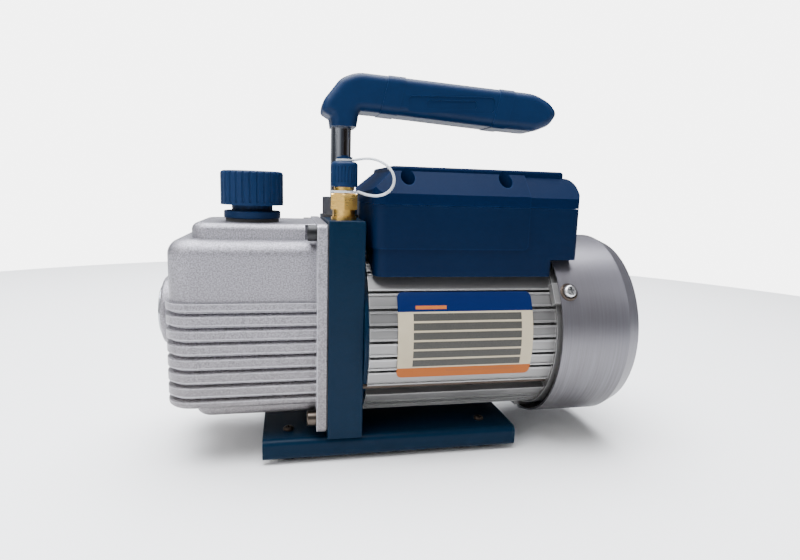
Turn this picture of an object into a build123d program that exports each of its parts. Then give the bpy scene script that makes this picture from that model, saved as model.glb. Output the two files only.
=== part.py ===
from build123d import *
import math
import os

# A rotary vane vacuum pump, single stage, with its motor.
# Frame: +X runs along the shaft from the oil case to the fan, +Z is up, and the
# origin is on the floor, under the middle of the whole machine.

os.makedirs("parts", exist_ok=True)

# ------------------------------------------------------- driving dimensions, mm
overall_length = 270.0
axis_z = 68.6  # height of the shaft
foot_drop = 2.5  # the feet stand this far below the base channel
fit_gap = 0.05  # radial clearance of bolts in holes, and of running fits
seat_gap = 0.3  # clearance between pieces of different bodies

base_front, base_rear = -79.0, 67.0
base_half_width = 41.4
base_top = 14.3
sheet = 2.0
bend_radius = 3.5
foot_stations = (-65.0, 49.0)
foot_y = 27.0
foot_radius = 8.5
foot_screw_radius = 1.5

bracket_front = -44.0
bracket_thick = 19.3
bracket_half_width = 42.7
bracket_top = 134.3

flange_thick = 5.5
gasket_thick = 0.5
case_front = -128.4
case_half_width = 39.0
case_wall = 3.4
rib_count = 7
rib_pitch = 7.68
rib_top = 90.4
rib_depth = 2.4
case_bolt_y = 36.6
case_bolt_zs = (24.6, 127.4)

cap_x, cap_y = -84.3, -9.0  # exhaust and oil-fill port
intake_x, intake_y = -35.1, -28.0
handle_x = -34.6

housing_front, housing_rear = -22.7, 83.8
housing_radius = 51.0
housing_bore = 43.5
rib_root_radius = 46.8

cover_rim, cover_shoulder = 85.0, 126.3
cover_radius = 57.1
cover_end_radius = 53.6
cover_wall = 1.2
cover_screw_angles = (30, 150, 270)

box_left, box_right = -22.3, 97.0
box_step_x = 82.0  # the box is cut back below the step, in front of the fan cover
box_half_width = 43.2
box_bottom, box_step_z = 105.0, 114.5
box_split_z = 143.3
box_eaves_z, box_ridge_z, box_top_z = 149.0, 160.4, 164.0
panel_rear, panel_bottom, panel_proud = 66.2, 120.2, 0.9

shaft_radius = 6.0
rotor_radius = 21.0
cylinder_bore = 24.0
rotor_length = 38.0
vane_thick = 3.9
vane_width = 37.6

# ------------------------------------------------------- derived
bracket_rear = bracket_front + bracket_thick
bracket_mid = bracket_front + bracket_thick / 2
case_rear = bracket_front - gasket_thick
flange_front = case_rear - flange_thick
overall_front = -overall_length / 2
cover_end = overall_length / 2
eccentricity = cylinder_bore - rotor_radius - 0.1
foot_points = [(x, y) for x in foot_stations for y in (-foot_y, foot_y)]
case_bolt_points = [(y, z - axis_z) for z in case_bolt_zs for y in (-case_bolt_y, case_bolt_y)]


def across(x):
    """The plane across the shaft at station x: its own x is +Y and its own y is +Z."""
    return Plane(origin=(x, 0, axis_z), x_dir=(0, 1, 0), z_dir=(1, 0, 0))


def level(z):
    """The horizontal plane at height z."""
    return Plane.XY.offset(z)


def ring(x, outer, inner, length):
    """A ring round the shaft line, from station x towards +X."""
    with BuildPart() as made:
        with BuildSketch(across(x)):
            Circle(outer)
            Circle(inner, mode=Mode.SUBTRACT)
        extrude(amount=length)
    return made.part


def socket_screw(head_radius, head_height, shank_radius, length):
    """A socket-head screw with its seat at the origin and its head towards +Z."""
    with BuildPart() as made:
        with BuildSketch():
            Circle(head_radius)
        extrude(amount=head_height)
        chamfer(made.edges().group_by(Axis.Z)[-1], 0.4)
        with BuildSketch():
            Circle(shank_radius)
        extrude(amount=-length)
        with BuildSketch(level(head_height)):
            RegularPolygon(head_radius * 0.55, 6)
        extrude(amount=-head_height * 0.6, mode=Mode.SUBTRACT)
    return made.part


def cross_screw(head_radius, head_height, shank_radius, length):
    """A pan-head cross-recess screw with its seat at the origin and its head towards +Z."""
    with BuildPart() as made:
        with BuildSketch():
            Circle(head_radius)
        extrude(amount=head_height)
        fillet(made.edges().group_by(Axis.Z)[-1], head_height * 0.55)
        with BuildSketch():
            Circle(shank_radius)
        extrude(amount=-length)
        with BuildSketch(level(head_height)):
            Rectangle(head_radius * 1.1, head_radius * 0.28)
            Rectangle(head_radius * 0.28, head_radius * 1.1)
        extrude(amount=-head_height * 0.6, mode=Mode.SUBTRACT)
    return made.part


def hex_bolt(across_flats, head_height, shank_radius, length):
    """A hexagon bolt with its seat at the origin and its head towards +Z."""
    with BuildPart() as made:
        with BuildSketch():
            RegularPolygon(across_flats / 2, 6, major_radius=False)
        extrude(amount=head_height)
        with BuildSketch():
            Circle(shank_radius)
        extrude(amount=-length)
    return made.part


# ======================================================= base and feet
with BuildPart() as base_plate:
    with BuildSketch(Plane.YZ.offset(base_front)) as channel:
        with Locations((0, (foot_drop + base_top) / 2)):
            Rectangle(2 * base_half_width, base_top - foot_drop)
        fillet(channel.vertices().group_by(Axis.Z)[-1], bend_radius)
    extrude(amount=base_rear - base_front)
    with BuildSketch(Plane.YZ.offset(base_front)) as hollow:
        with Locations((0, (foot_drop + base_top - sheet) / 2)):
            Rectangle(2 * (base_half_width - sheet), base_top - sheet - foot_drop)
        fillet(hollow.vertices().group_by(Axis.Z)[-1], bend_radius - sheet)
    extrude(amount=base_rear - base_front, mode=Mode.SUBTRACT)
    with Locations(*[(x, y, base_top) for x, y in foot_points]):
        Hole(foot_screw_radius + fit_gap)
    with Locations((bracket_mid, -24, base_top), (bracket_mid, 24, base_top)):
        Hole(3.0 + fit_gap)
base_plate.part.label = "base_plate"
export_step(base_plate.part, "parts/base_plate.step")

foot_height = base_top - sheet
foot_screw_depth = 8.0
with BuildPart() as rubber_feet:
    with BuildSketch():
        with Locations(*foot_points):
            Circle(foot_radius)
    extrude(amount=foot_height)
    chamfer(rubber_feet.edges().group_by(Axis.Z)[0], 0.8)
    with BuildSketch(level(foot_height)):
        with Locations(*foot_points):
            Circle(foot_screw_radius + fit_gap)
    extrude(amount=-foot_screw_depth + sheet, mode=Mode.SUBTRACT)
    with BuildSketch():
        with Locations(*foot_points):
            Circle(3.0)
    extrude(amount=2.0, mode=Mode.SUBTRACT)
rubber_feet.part.label = "rubber_feet"
export_step(rubber_feet.part, "parts/rubber_feet.step")

with BuildPart() as foot_screws:
    with Locations(*[(x, y, base_top) for x, y in foot_points]):
        add(cross_screw(2.9, 1.9, foot_screw_radius, foot_screw_depth))
foot_screws.part.label = "foot_screws"
export_step(foot_screws.part, "parts/foot_screws.step")

base_bolt_depth = 14.0
with BuildPart() as base_bolts:
    with Locations(
        Plane(origin=(bracket_mid, -24, base_top - sheet), z_dir=(0, 0, -1)),
        Plane(origin=(bracket_mid, 24, base_top - sheet), z_dir=(0, 0, -1)),
    ):
        add(hex_bolt(10.0, 4.0, 3.0, base_bolt_depth))
base_bolts.part.label = "base_bolts"
export_step(base_bolts.part, "parts/base_bolts.step")

# ======================================================= pump bracket
bearing_outer, bearing_width = 16.0, 10.0
seal_outer, seal_width = 11.0, 7.0
register_radius = housing_bore - fit_gap
passage_y, passage_z = -25.0, 90.0
tie_angles = (-32, 59, 121, 212)
tie_circle = 47.6
tie_radius = 1.6
pump_bolt_points = [(y, z) for y in (-25.0, 25.0) for z in (-20.0, 30.0)]
port_drill = 5.0

with BuildPart() as pump_bracket:
    with BuildSketch(Plane.YZ.offset(bracket_front)):
        with Locations((0, (base_top + bracket_top) / 2)):
            Rectangle(2 * bracket_half_width, bracket_top - base_top)
    extrude(amount=bracket_thick)
    fillet(pump_bracket.edges().filter_by(Axis.Z), 0.8)
    fillet(pump_bracket.faces().sort_by(Axis.Z)[-1].edges(), 0.6)
    with BuildSketch(across(bracket_rear)):
        Circle(register_radius)
    extrude(amount=housing_front - bracket_rear + 3.0)
    with BuildSketch(across(housing_front + 3.0)):
        Circle(register_radius - 5.0)
    extrude(amount=-(housing_front + 3.0 - bracket_rear), mode=Mode.SUBTRACT)
    with BuildSketch(across(bracket_rear)):
        Circle(housing_radius - 3.5)
        Circle(register_radius - 1.0, mode=Mode.SUBTRACT)
    extrude(amount=housing_front - bracket_rear)
    with BuildSketch(across(bracket_rear)):
        Circle(bearing_outer)
    extrude(amount=-bearing_width, mode=Mode.SUBTRACT)
    with BuildSketch(across(bracket_front)):
        Circle(seal_outer)
    extrude(amount=seal_width, mode=Mode.SUBTRACT)
    with BuildSketch(across(bracket_front)):
        Circle(shaft_radius + 1.0)
    extrude(amount=bracket_thick, mode=Mode.SUBTRACT)
    with BuildSketch(across(bracket_front)):
        with Locations(*case_bolt_points):
            Circle(2.5 + fit_gap)
        with Locations(*pump_bolt_points):
            Circle(2.5 + fit_gap)
    extrude(amount=13.0, mode=Mode.SUBTRACT)
    with BuildSketch(across(bracket_rear - 10.0)):
        for angle in tie_angles:
            with PolarLocations(tie_circle, 1, start_angle=angle):
                Circle(tie_radius + fit_gap)
    extrude(amount=bracket_thick, mode=Mode.SUBTRACT)
    with BuildSketch(level(bracket_top)):
        with Locations((intake_x, intake_y)):
            Circle(port_drill + fit_gap)
    extrude(amount=-14.0, mode=Mode.SUBTRACT)
    with BuildSketch(level(bracket_top)):
        with Locations((intake_x, intake_y)):
            Circle(3.4)
    extrude(amount=-(bracket_top - passage_z + 2.0), mode=Mode.SUBTRACT)
    with BuildSketch(across(bracket_front)):
        with Locations((passage_y, passage_z - axis_z)):
            Circle(3.0)
    extrude(amount=9.0, mode=Mode.SUBTRACT)
    with BuildSketch(level(bracket_top)):
        with Locations((handle_x, 0)):
            Circle(6.0 + fit_gap)
    extrude(amount=-20.0, mode=Mode.SUBTRACT)
    with BuildSketch(level(base_top)):
        with Locations((bracket_mid, -24), (bracket_mid, 24)):
            Circle(3.0 + fit_gap)
    extrude(amount=base_bolt_depth, mode=Mode.SUBTRACT)
pump_bracket.part.label = "pump_bracket"
export_step(pump_bracket.part, "parts/pump_bracket.step")

# ======================================================= oil case
flange_bottom, flange_top = 18.0, 132.4
upper_half_width = case_half_width - 1.3
upper_front = case_front + 1.8
shoulder_z = 123.2
plateau_z = 131.5
plateau_front, plateau_half_width = -114.5, 31.5
sump_z = 26.2
sump_front, sump_half_width = -114.5, 33.0
cavity_half_width = case_half_width - rib_depth - 3.0
cavity_front = case_front + rib_depth + 3.2
cavity_bottom = rib_top - 3.9 - 6 * rib_pitch - 6.9 + case_wall
cavity_top = shoulder_z - 4.5
sight_z, sight_radius = 79.5, 19.5
glass_radius = 10.5
drain_y, drain_z = 17.0, 41.0
pocket_depth = 6.2


def case_section(z, front, half_width, corner, rear=case_rear - 1.0):
    """A horizontal section of the case: square at the flange, with rounded front corners."""
    with BuildSketch(level(z)) as section:
        with Locations(((front + rear) / 2, 0)):
            Rectangle(rear - front, 2 * half_width)
        fillet(section.vertices().group_by(Axis.X)[0], corner)
    return section.sketch


with BuildPart() as oil_case:
    # upper body with its rounded shoulder, then the plateau that carries the port
    extrude(case_section(rib_top, upper_front, upper_half_width, 13.0), amount=shoulder_z - rib_top)
    shoulder_edges = oil_case.edges().group_by(Axis.Z)[-1].sort_by(Axis.X)[:-1]
    fillet(shoulder_edges, 8.5)
    extrude(
        case_section(shoulder_z - 4.0, plateau_front, plateau_half_width, 9.0),
        amount=plateau_z - shoulder_z + 4.0,
    )
    plateau_edges = oil_case.edges().group_by(Axis.Z)[-1].sort_by(Axis.X)[:-1]
    fillet(plateau_edges, 4.0)
    # each pitch from the top down: undercut groove, sloped ledge, rib face
    face_top = rib_top
    for i in range(rib_count):
        groove_top = rib_top - 3.9 - i * rib_pitch
        face = case_section(groove_top, case_front, case_half_width, 14.0)
        extrude(face, amount=face_top - groove_top)
        core = case_section(groove_top, case_front + rib_depth, case_half_width - rib_depth, 11.6)
        extrude(core, amount=-1.5)
        ledge_bottom = groove_top - 3.3
        ledge = case_section(ledge_bottom, case_front, case_half_width, 14.0)
        extrude(ledge, amount=1.8, taper=math.degrees(math.atan(rib_depth / 1.8)))
        face_top = ledge_bottom
    last_rib_bottom = face_top - 3.6
    last_rib = case_section(last_rib_bottom, case_front, case_half_width, 14.0)
    extrude(last_rib, amount=face_top - last_rib_bottom)
    fillet(oil_case.edges().group_by(Axis.Z)[0].sort_by(Axis.X)[:-1], 2.5)
    sump_height = last_rib_bottom - sump_z
    extrude(
        case_section(sump_z, sump_front, sump_half_width, 9.0),
        amount=sump_height + 1.0,
    )
    fillet(oil_case.edges().group_by(Axis.Z)[0].sort_by(Axis.X)[:-1], 5.0)
    # bolting flange
    with BuildSketch(Plane.YZ.offset(flange_front)):
        with Locations((0, (flange_bottom + flange_top) / 2)):
            RectangleRounded(2 * bracket_half_width, flange_top - flange_bottom, 3.0)
    extrude(amount=flange_thick)
    fillet(oil_case.faces().filter_by(Axis.X).sort_by(Axis.X)[-1].outer_wire().edges(), 0.8)
    # sight glass boss on the front
    with BuildSketch(Plane.YZ.offset(case_front + 6.0)):
        with Locations((0, sight_z)):
            Circle(sight_radius)
    extrude(amount=-(6.0 + 5.0))
    fillet(oil_case.faces().filter_by(Axis.X).sort_by(Axis.X)[0].outer_wire().edges(), 2.2)
    with BuildSketch(Plane.YZ.offset(case_front + 6.0)):
        with Locations((drain_y, drain_z)):
            Circle(8.0)
    extrude(amount=-(6.0 + 1.4))
    # hollow inside, open at the flange, with the sump below and the raised part above
    extrude(
        case_section(cavity_bottom, cavity_front, cavity_half_width, 9.0, case_rear + 1.0),
        amount=cavity_top - cavity_bottom,
        mode=Mode.SUBTRACT,
    )
    extrude(
        case_section(
            sump_z + case_wall,
            sump_front + case_wall,
            sump_half_width - case_wall,
            6.0,
            case_rear + 1.0,
        ),
        amount=cavity_top - sump_z - case_wall,
        mode=Mode.SUBTRACT,
    )
    extrude(
        case_section(
            cavity_bottom,
            plateau_front + case_wall,
            plateau_half_width - case_wall,
            6.0,
            flange_front - pocket_depth - case_wall,
        ),
        amount=plateau_z - case_wall - cavity_bottom,
        mode=Mode.SUBTRACT,
    )
    # pockets for the heads of the upper bolts, and the bolt holes
    with BuildSketch(across(flange_front)):
        with Locations(*case_bolt_points):
            Circle(5.2)
        for side in (-1, 1):
            with Locations((side * 33.0, case_bolt_zs[1] - axis_z - 0.2)):
                Rectangle(10.0, 8.0)
    extrude(amount=-pocket_depth, mode=Mode.SUBTRACT)
    with BuildSketch(across(case_rear)):
        with Locations(*case_bolt_points):
            Circle(2.5 + fit_gap)
    extrude(amount=-flange_thick, mode=Mode.SUBTRACT)
    with Locations((cap_x, cap_y, plateau_z)):
        Hole(9.5 + fit_gap, depth=case_wall + 6.0)
    with BuildSketch(Plane.YZ.offset(case_front - 6.0)):
        with Locations((0, sight_z)):
            Circle(glass_radius)
        with Locations((drain_y, drain_z)):
            Circle(5.0 + fit_gap)
    extrude(amount=16.0, mode=Mode.SUBTRACT)
oil_case.part.label = "oil_case"
export_step(oil_case.part, "parts/oil_case.step")

with BuildPart() as case_gasket:
    with BuildSketch(Plane.YZ.offset(case_rear)):
        with Locations((0, (flange_bottom + flange_top) / 2)):
            RectangleRounded(2 * bracket_half_width - 1.6, flange_top - flange_bottom - 1.6, 3.0)
        with Locations((0, (cavity_bottom + cavity_top) / 2)):
            Rectangle(2 * cavity_half_width, cavity_top - cavity_bottom, mode=Mode.SUBTRACT)
        with Locations(*[(y, z + axis_z) for y, z in case_bolt_points]):
            Circle(2.5 + fit_gap, mode=Mode.SUBTRACT)
    extrude(amount=gasket_thick)
case_gasket.part.label = "case_gasket"
export_step(case_gasket.part, "parts/case_gasket.step")

with BuildPart() as case_bolts:
    with Locations(
        *[
            Plane(origin=(flange_front, y, z + axis_z), z_dir=(-1, 0, 0))
            for y, z in case_bolt_points
        ]
    ):
        add(socket_screw(4.25, 5.0, 2.5, flange_thick + gasket_thick + 12.0))
case_bolts.part.label = "case_bolts"
export_step(case_bolts.part, "parts/case_bolts.step")

# ------------------------------------------------------- sight glass and drain
boss_end = case_front - 5.0
bezel_thick = boss_end - overall_front
lens_thick = 3.0
with BuildPart() as sight_glass_bezel:
    with BuildSketch(Plane.YZ.offset(overall_front)):
        with Locations((0, sight_z)):
            Circle(14.5)
            Circle(8.0, mode=Mode.SUBTRACT)
    extrude(amount=bezel_thick)
    fillet(sight_glass_bezel.faces().sort_by(Axis.X)[0].outer_wire().edges(), 0.7)
    with BuildSketch(Plane.YZ.offset(boss_end)):
        with Locations((0, sight_z)):
            Circle(glass_radius - fit_gap)
            Circle(8.0, mode=Mode.SUBTRACT)
    extrude(amount=3.0)
sight_glass_bezel.part.label = "sight_glass_bezel"
export_step(sight_glass_bezel.part, "parts/sight_glass_bezel.step")

with BuildPart() as sight_glass_lens:
    with BuildSketch(Plane.YZ.offset(boss_end + 3.0)):
        with Locations((0, sight_z)):
            Circle(glass_radius - fit_gap)
    extrude(amount=lens_thick)
sight_glass_lens.part.label = "sight_glass_lens"
export_step(sight_glass_lens.part, "parts/sight_glass_lens.step")

with BuildPart() as sight_glass_seal:
    with BuildSketch(Plane.YZ.offset(boss_end + 3.0 + lens_thick)):
        with Locations((0, sight_z)):
            Circle(glass_radius - fit_gap)
            Circle(7.5, mode=Mode.SUBTRACT)
    extrude(amount=1.6)
sight_glass_seal.part.label = "sight_glass_seal"
export_step(sight_glass_seal.part, "parts/sight_glass_seal.step")

drain_face = case_front - 1.4
with BuildPart() as drain_plug:
    with BuildSketch(Plane.YZ.offset(drain_face - 1.0)):
        with Locations((drain_y, drain_z)):
            RegularPolygon(6.0, 6, major_radius=False)
    extrude(amount=-2.6)
    with BuildSketch(Plane.YZ.offset(drain_face - 1.0)):
        with Locations((drain_y, drain_z)):
            Circle(5.0)
    extrude(amount=8.0)
    with BuildSketch(Plane.YZ.offset(drain_face - 3.6)):
        with Locations((drain_y, drain_z)):
            RegularPolygon(2.8, 6)
    extrude(amount=3.0, mode=Mode.SUBTRACT)
drain_plug.part.label = "drain_plug"
export_step(drain_plug.part, "parts/drain_plug.step")

with BuildPart() as drain_seal:
    with BuildSketch(Plane.YZ.offset(drain_face - 1.0)):
        with Locations((drain_y, drain_z)):
            Circle(7.0)
            Circle(5.0 + fit_gap, mode=Mode.SUBTRACT)
    extrude(amount=1.0)
drain_seal.part.label = "drain_seal"
export_step(drain_seal.part, "parts/drain_seal.step")

# ======================================================= exhaust port and cap
seal_top = plateau_z + 1.8
collar_top = seal_top + 4.2
neck_top = 152.5
cap_bottom, cap_top = 140.6, 159.0
cap_radius = 16.9
neck_radius = 11.0

with BuildPart() as exhaust_port_seal:
    with BuildSketch(level(plateau_z)):
        with Locations((cap_x, cap_y)):
            Circle(14.4)
            Circle(9.5 + fit_gap, mode=Mode.SUBTRACT)
    extrude(amount=seal_top - plateau_z)
exhaust_port_seal.part.label = "exhaust_port_seal"
export_step(exhaust_port_seal.part, "parts/exhaust_port_seal.step")

with BuildPart() as exhaust_port:
    with BuildSketch(level(seal_top)):
        with Locations((cap_x, cap_y)):
            Circle(15.3)
    extrude(amount=collar_top - seal_top)
    fillet(exhaust_port.edges().filter_by(GeomType.CIRCLE), 0.8)
    with BuildSketch(level(collar_top - 0.5)):
        with Locations((cap_x, cap_y)):
            Circle(neck_radius)
    extrude(amount=neck_top - collar_top + 0.5)
    with BuildSketch(level(seal_top + 0.5)):
        with Locations((cap_x, cap_y)):
            Circle(9.5)
    extrude(amount=-(seal_top + 0.5 - plateau_z + case_wall + 2.0))
    with BuildSketch(level(neck_top)):
        with Locations((cap_x, cap_y)):
            Circle(7.6)
    extrude(amount=-40.0, mode=Mode.SUBTRACT)
exhaust_port.part.label = "exhaust_port"
export_step(exhaust_port.part, "parts/exhaust_port.step")

flute_count = 28
with BuildPart() as exhaust_cap:
    with BuildSketch(level(cap_bottom)):
        with Locations((cap_x, cap_y)):
            Circle(cap_radius)
    extrude(amount=cap_top - cap_bottom)
    fillet(exhaust_cap.edges().group_by(Axis.Z)[-1], 1.8)
    with BuildSketch(level(cap_bottom + 1.2)):
        with Locations((cap_x, cap_y)):
            with PolarLocations(cap_radius + 0.35, flute_count):
                Circle(0.9)
    extrude(amount=cap_top - cap_bottom, mode=Mode.SUBTRACT)
    with BuildSketch(level(cap_bottom)):
        with Locations((cap_x, cap_y)):
            Circle(neck_radius + seat_gap)
    extrude(amount=cap_top - cap_bottom - 2.6, mode=Mode.SUBTRACT)
exhaust_cap.part.label = "exhaust_cap"
export_step(exhaust_cap.part, "parts/exhaust_cap.step")

cap_ceiling = cap_top - 2.6
with BuildPart() as exhaust_cap_seal:
    with BuildSketch(level(neck_top + seat_gap)):
        with Locations((cap_x, cap_y)):
            Circle(neck_radius - 0.2)
            Circle(7.8, mode=Mode.SUBTRACT)
    extrude(amount=cap_ceiling - neck_top - 2 * seat_gap)
exhaust_cap_seal.part.label = "exhaust_cap_seal"
export_step(exhaust_cap_seal.part, "parts/exhaust_cap_seal.step")

# ======================================================= intake fitting, cap and tether
fitting_foot_top = bracket_top + 5.6
hex_top = 148.6
thread_radius = 5.55  # 7/16-20 UNF flare thread, major radius
thread_top = 161.2
intake_cap_bottom, intake_cap_top = 151.8, 165.2
intake_cap_radius = 7.2
disc_top = 168.4

with BuildPart() as intake_fitting:
    with BuildSketch(level(bracket_top)):
        with Locations((intake_x, intake_y)):
            Circle(6.1)
    extrude(amount=fitting_foot_top - bracket_top)
    with BuildSketch(level(bracket_top)):
        with Locations((intake_x, intake_y)):
            Circle(6.9)
    extrude(amount=1.6)
    with BuildSketch(level(fitting_foot_top)):
        with Locations(Location((intake_x, intake_y), 26)):
            RegularPolygon(7.0, 6, major_radius=False)
    extrude(amount=hex_top - fitting_foot_top)
    chamfer(intake_fitting.edges().group_by(Axis.Z)[-1], 0.8)
    with BuildSketch(level(hex_top)):
        with Locations((intake_x, intake_y)):
            Circle(5.0)
    extrude(amount=1.6)
    with BuildSketch(level(hex_top + 1.6)):
        with Locations((intake_x, intake_y)):
            Circle(thread_radius)
    extrude(amount=thread_top - hex_top - 1.6)
    chamfer(intake_fitting.edges().group_by(Axis.Z)[-1], 2.0)
    with BuildSketch(level(bracket_top)):
        with Locations((intake_x, intake_y)):
            Circle(port_drill)
    extrude(amount=-13.0)
    with Locations((intake_x, intake_y, thread_top)):
        Hole(2.4)
    with BuildSketch(level(bracket_top - 13.0)):
        with Locations((intake_x, intake_y)):
            Circle(3.4)
    extrude(amount=6.0, mode=Mode.SUBTRACT)
intake_fitting.part.label = "intake_fitting"
export_step(intake_fitting.part, "parts/intake_fitting.step")

with BuildPart() as intake_strainer:
    with BuildSketch(level(bracket_top - 13.0)):
        with Locations((intake_x, intake_y)):
            Circle(3.2)
            Circle(2.8, mode=Mode.SUBTRACT)
    extrude(amount=5.0)
    with BuildSketch(level(bracket_top - 8.0)):
        with Locations((intake_x, intake_y)):
            Circle(3.2)
    extrude(amount=-0.5)
intake_strainer.part.label = "intake_strainer"
export_step(intake_strainer.part, "parts/intake_strainer.step")

with BuildPart() as intake_cap:
    with BuildSketch(level(intake_cap_bottom)):
        with Locations((intake_x, intake_y)):
            Circle(intake_cap_radius)
    extrude(amount=intake_cap_top - intake_cap_bottom)
    fillet(intake_cap.edges().group_by(Axis.Z)[-1], 2.0)
    chamfer(intake_cap.edges().group_by(Axis.Z)[0], 0.6)
    with BuildSketch(level(intake_cap_bottom + 2.4)):
        with Locations((intake_x, intake_y)):
            with PolarLocations(intake_cap_radius + 0.25, 24):
                Circle(0.65)
    extrude(amount=8.6, mode=Mode.SUBTRACT)
    with BuildSketch(level(intake_cap_top)):
        with Locations((intake_x, intake_y)):
            Circle(2.2)
    extrude(amount=1.6)
    with BuildSketch(level(intake_cap_top + 1.6)):
        with Locations((intake_x, intake_y)):
            Circle(4.3)
    extrude(amount=0.8)
    with BuildSketch(level(intake_cap_top + 2.4)):
        with Locations((intake_x, intake_y)):
            Circle(2.0)
    extrude(amount=disc_top - intake_cap_top - 2.4)
    with BuildSketch(level(intake_cap_bottom)):
        with Locations((intake_x, intake_y)):
            Circle(thread_radius + seat_gap)
    extrude(amount=thread_top + seat_gap - intake_cap_bottom, mode=Mode.SUBTRACT)
intake_cap.part.label = "intake_cap"
export_step(intake_cap.part, "parts/intake_cap.step")

tether_radius = 0.7
cap_ring_z = intake_cap_top + seat_gap
neck_ring_z = hex_top + 0.1
with BuildPart() as tether_cap_ring:
    with BuildSketch(level(cap_ring_z)):
        with Locations((intake_x, intake_y)):
            Circle(4.6)
            Circle(2.5, mode=Mode.SUBTRACT)
    extrude(amount=1.0)
tether_cap_ring.part.label = "tether_cap_ring"
export_step(tether_cap_ring.part, "parts/tether_cap_ring.step")

with BuildPart() as tether_neck_ring:
    with BuildSketch(level(neck_ring_z)):
        with Locations((intake_x, intake_y)):
            Circle(7.6)
            Circle(5.0 + fit_gap, mode=Mode.SUBTRACT)
    extrude(amount=1.2)
tether_neck_ring.part.label = "tether_neck_ring"
export_step(tether_neck_ring.part, "parts/tether_neck_ring.step")

# The strap leaves the neck ring, bows out past the terminal box, and returns to the cap ring.
tether_route = [
    (intake_x + 6.9, intake_y - 4.4, neck_ring_z + 0.9),
    (-24.6, -40.2, 147.8),
    (-18.2, -46.3, 147.6),
    (-12.9, -48.0, 150.8),
    (-11.2, -48.4, 156.4),
    (-13.4, -47.6, 161.8),
    (-18.9, -43.9, 165.9),
    (-25.0, -37.2, 167.1),
    (intake_x + 4.4, intake_y - 2.8, cap_ring_z + 0.5),
]


def corner_radii(points):
    """The radius of each corner's arc: 0.45 of the shorter run over the tangent of half the turn."""
    radii = []
    for before, corner, after in zip(points, points[1:], points[2:]):
        run_in = Vector(*corner) - Vector(*before)
        run_out = Vector(*after) - Vector(*corner)
        half_turn = math.radians(run_in.get_angle(run_out)) / 2
        radii.append(0.45 * min(run_in.length, run_out.length) / math.tan(half_turn))
    return radii


tether_radii = corner_radii(tether_route)
print("tether corner radii", [round(r, 1) for r in tether_radii])
with BuildPart() as tether_strap:
    with BuildLine() as route:
        FilletPolyline(*tether_route, radius=tether_radii)
    with BuildSketch(route.line ^ 0):
        Circle(tether_radius)
    sweep()
print("tether length", round(sum(e.length for e in route.edges()), 1))
tether_strap.part.label = "tether_strap"
export_step(tether_strap.part, "parts/tether_strap.step")

# ======================================================= handle
washer_top = bracket_top + 1.7
nut_height = 10.0
rod_radius = 5.9
grip_half_width = 12.6
grip_side_fillet = 4.8
grip_left, grip_right = -46.3, 95.2
grip_top, grip_bottom = 215.4, 194.4
grip_band_stations = ((-8.4, 9.6), (58.6, 8.6))
grip_band_proud = 0.35
arm_z = (grip_top + grip_bottom) / 2 - 0.2

with BuildPart() as handle_washer:
    with BuildSketch(level(bracket_top)):
        with Locations((handle_x, 0)):
            Circle(10.8)
            Circle(6.0 + fit_gap, mode=Mode.SUBTRACT)
    extrude(amount=washer_top - bracket_top)
handle_washer.part.label = "handle_washer"
export_step(handle_washer.part, "parts/handle_washer.step")

with BuildPart() as handle_nut:
    with BuildSketch(level(washer_top)):
        with Locations(Location((handle_x, 0), 12)):
            RegularPolygon(9.3, 6, major_radius=False)
    extrude(amount=nut_height)
    with Locations((handle_x, 0, washer_top + nut_height)):
        Hole(6.0 + fit_gap)
handle_nut.part.label = "handle_nut"
export_step(handle_nut.part, "parts/handle_nut.step")

with BuildPart() as handle_rod:
    with BuildLine() as rod_path:
        FilletPolyline(
            (handle_x, 0, bracket_top - 18.0),
            (handle_x, 0, arm_z),
            (grip_right - 16.0, 0, arm_z - 3.0),
            radius=14.0,
        )
    with BuildSketch(rod_path.line ^ 0):
        Circle(rod_radius)
    sweep()
handle_rod.part.label = "handle_rod"
export_step(handle_rod.part, "parts/handle_rod.step")

# The grip's side outline from the collar round the heel, over the top and back along the
# underside, each corner with the radius that rounds it.
grip_corners = [
    (-40.8, 185.6, 0),
    (-41.4, 190.4, 1.5),
    (grip_left, 193.2, 2.5),
    (-45.6, 199.0, 9.0),
    (-36.0, 211.5, 12.0),
    (-27.0, grip_top, 20.0),
    (80.0, 210.2, 26.0),
    (90.0, 205.6, 14.0),
    (grip_right, 199.6, 4.0),
    (90.6, 192.4, 10.0),
    (81.0, 188.3, 12.0),
    (60.0, 189.2, 40.0),
    (-14.6, 193.9, 0),
    (-25.2, 194.3, 2.0),
    (-26.6, 185.6, 0),
]


def grip_solid(grow):
    """The grip before its bore is made, swollen by grow all round."""
    with BuildPart() as made:
        with BuildSketch(Plane.XZ) as grip_side:
            with BuildLine():
                Polyline(*[(x, z) for x, z, radius in grip_corners], close=True)
            make_face()
            for x, z, radius in grip_corners:
                if radius > 0:
                    corner = grip_side.vertices().sort_by_distance((x, z, 0))[0]
                    fillet(corner, radius)
            if grow > 0:
                offset(amount=grow)
        extrude(amount=grip_half_width + grow, both=True)
        side_edges = made.faces().filter_by(Axis.Y).edges()
        fillet(side_edges.filter_by(lambda edge: edge.center().Z > 187), grip_side_fillet)
    return made.part


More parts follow.
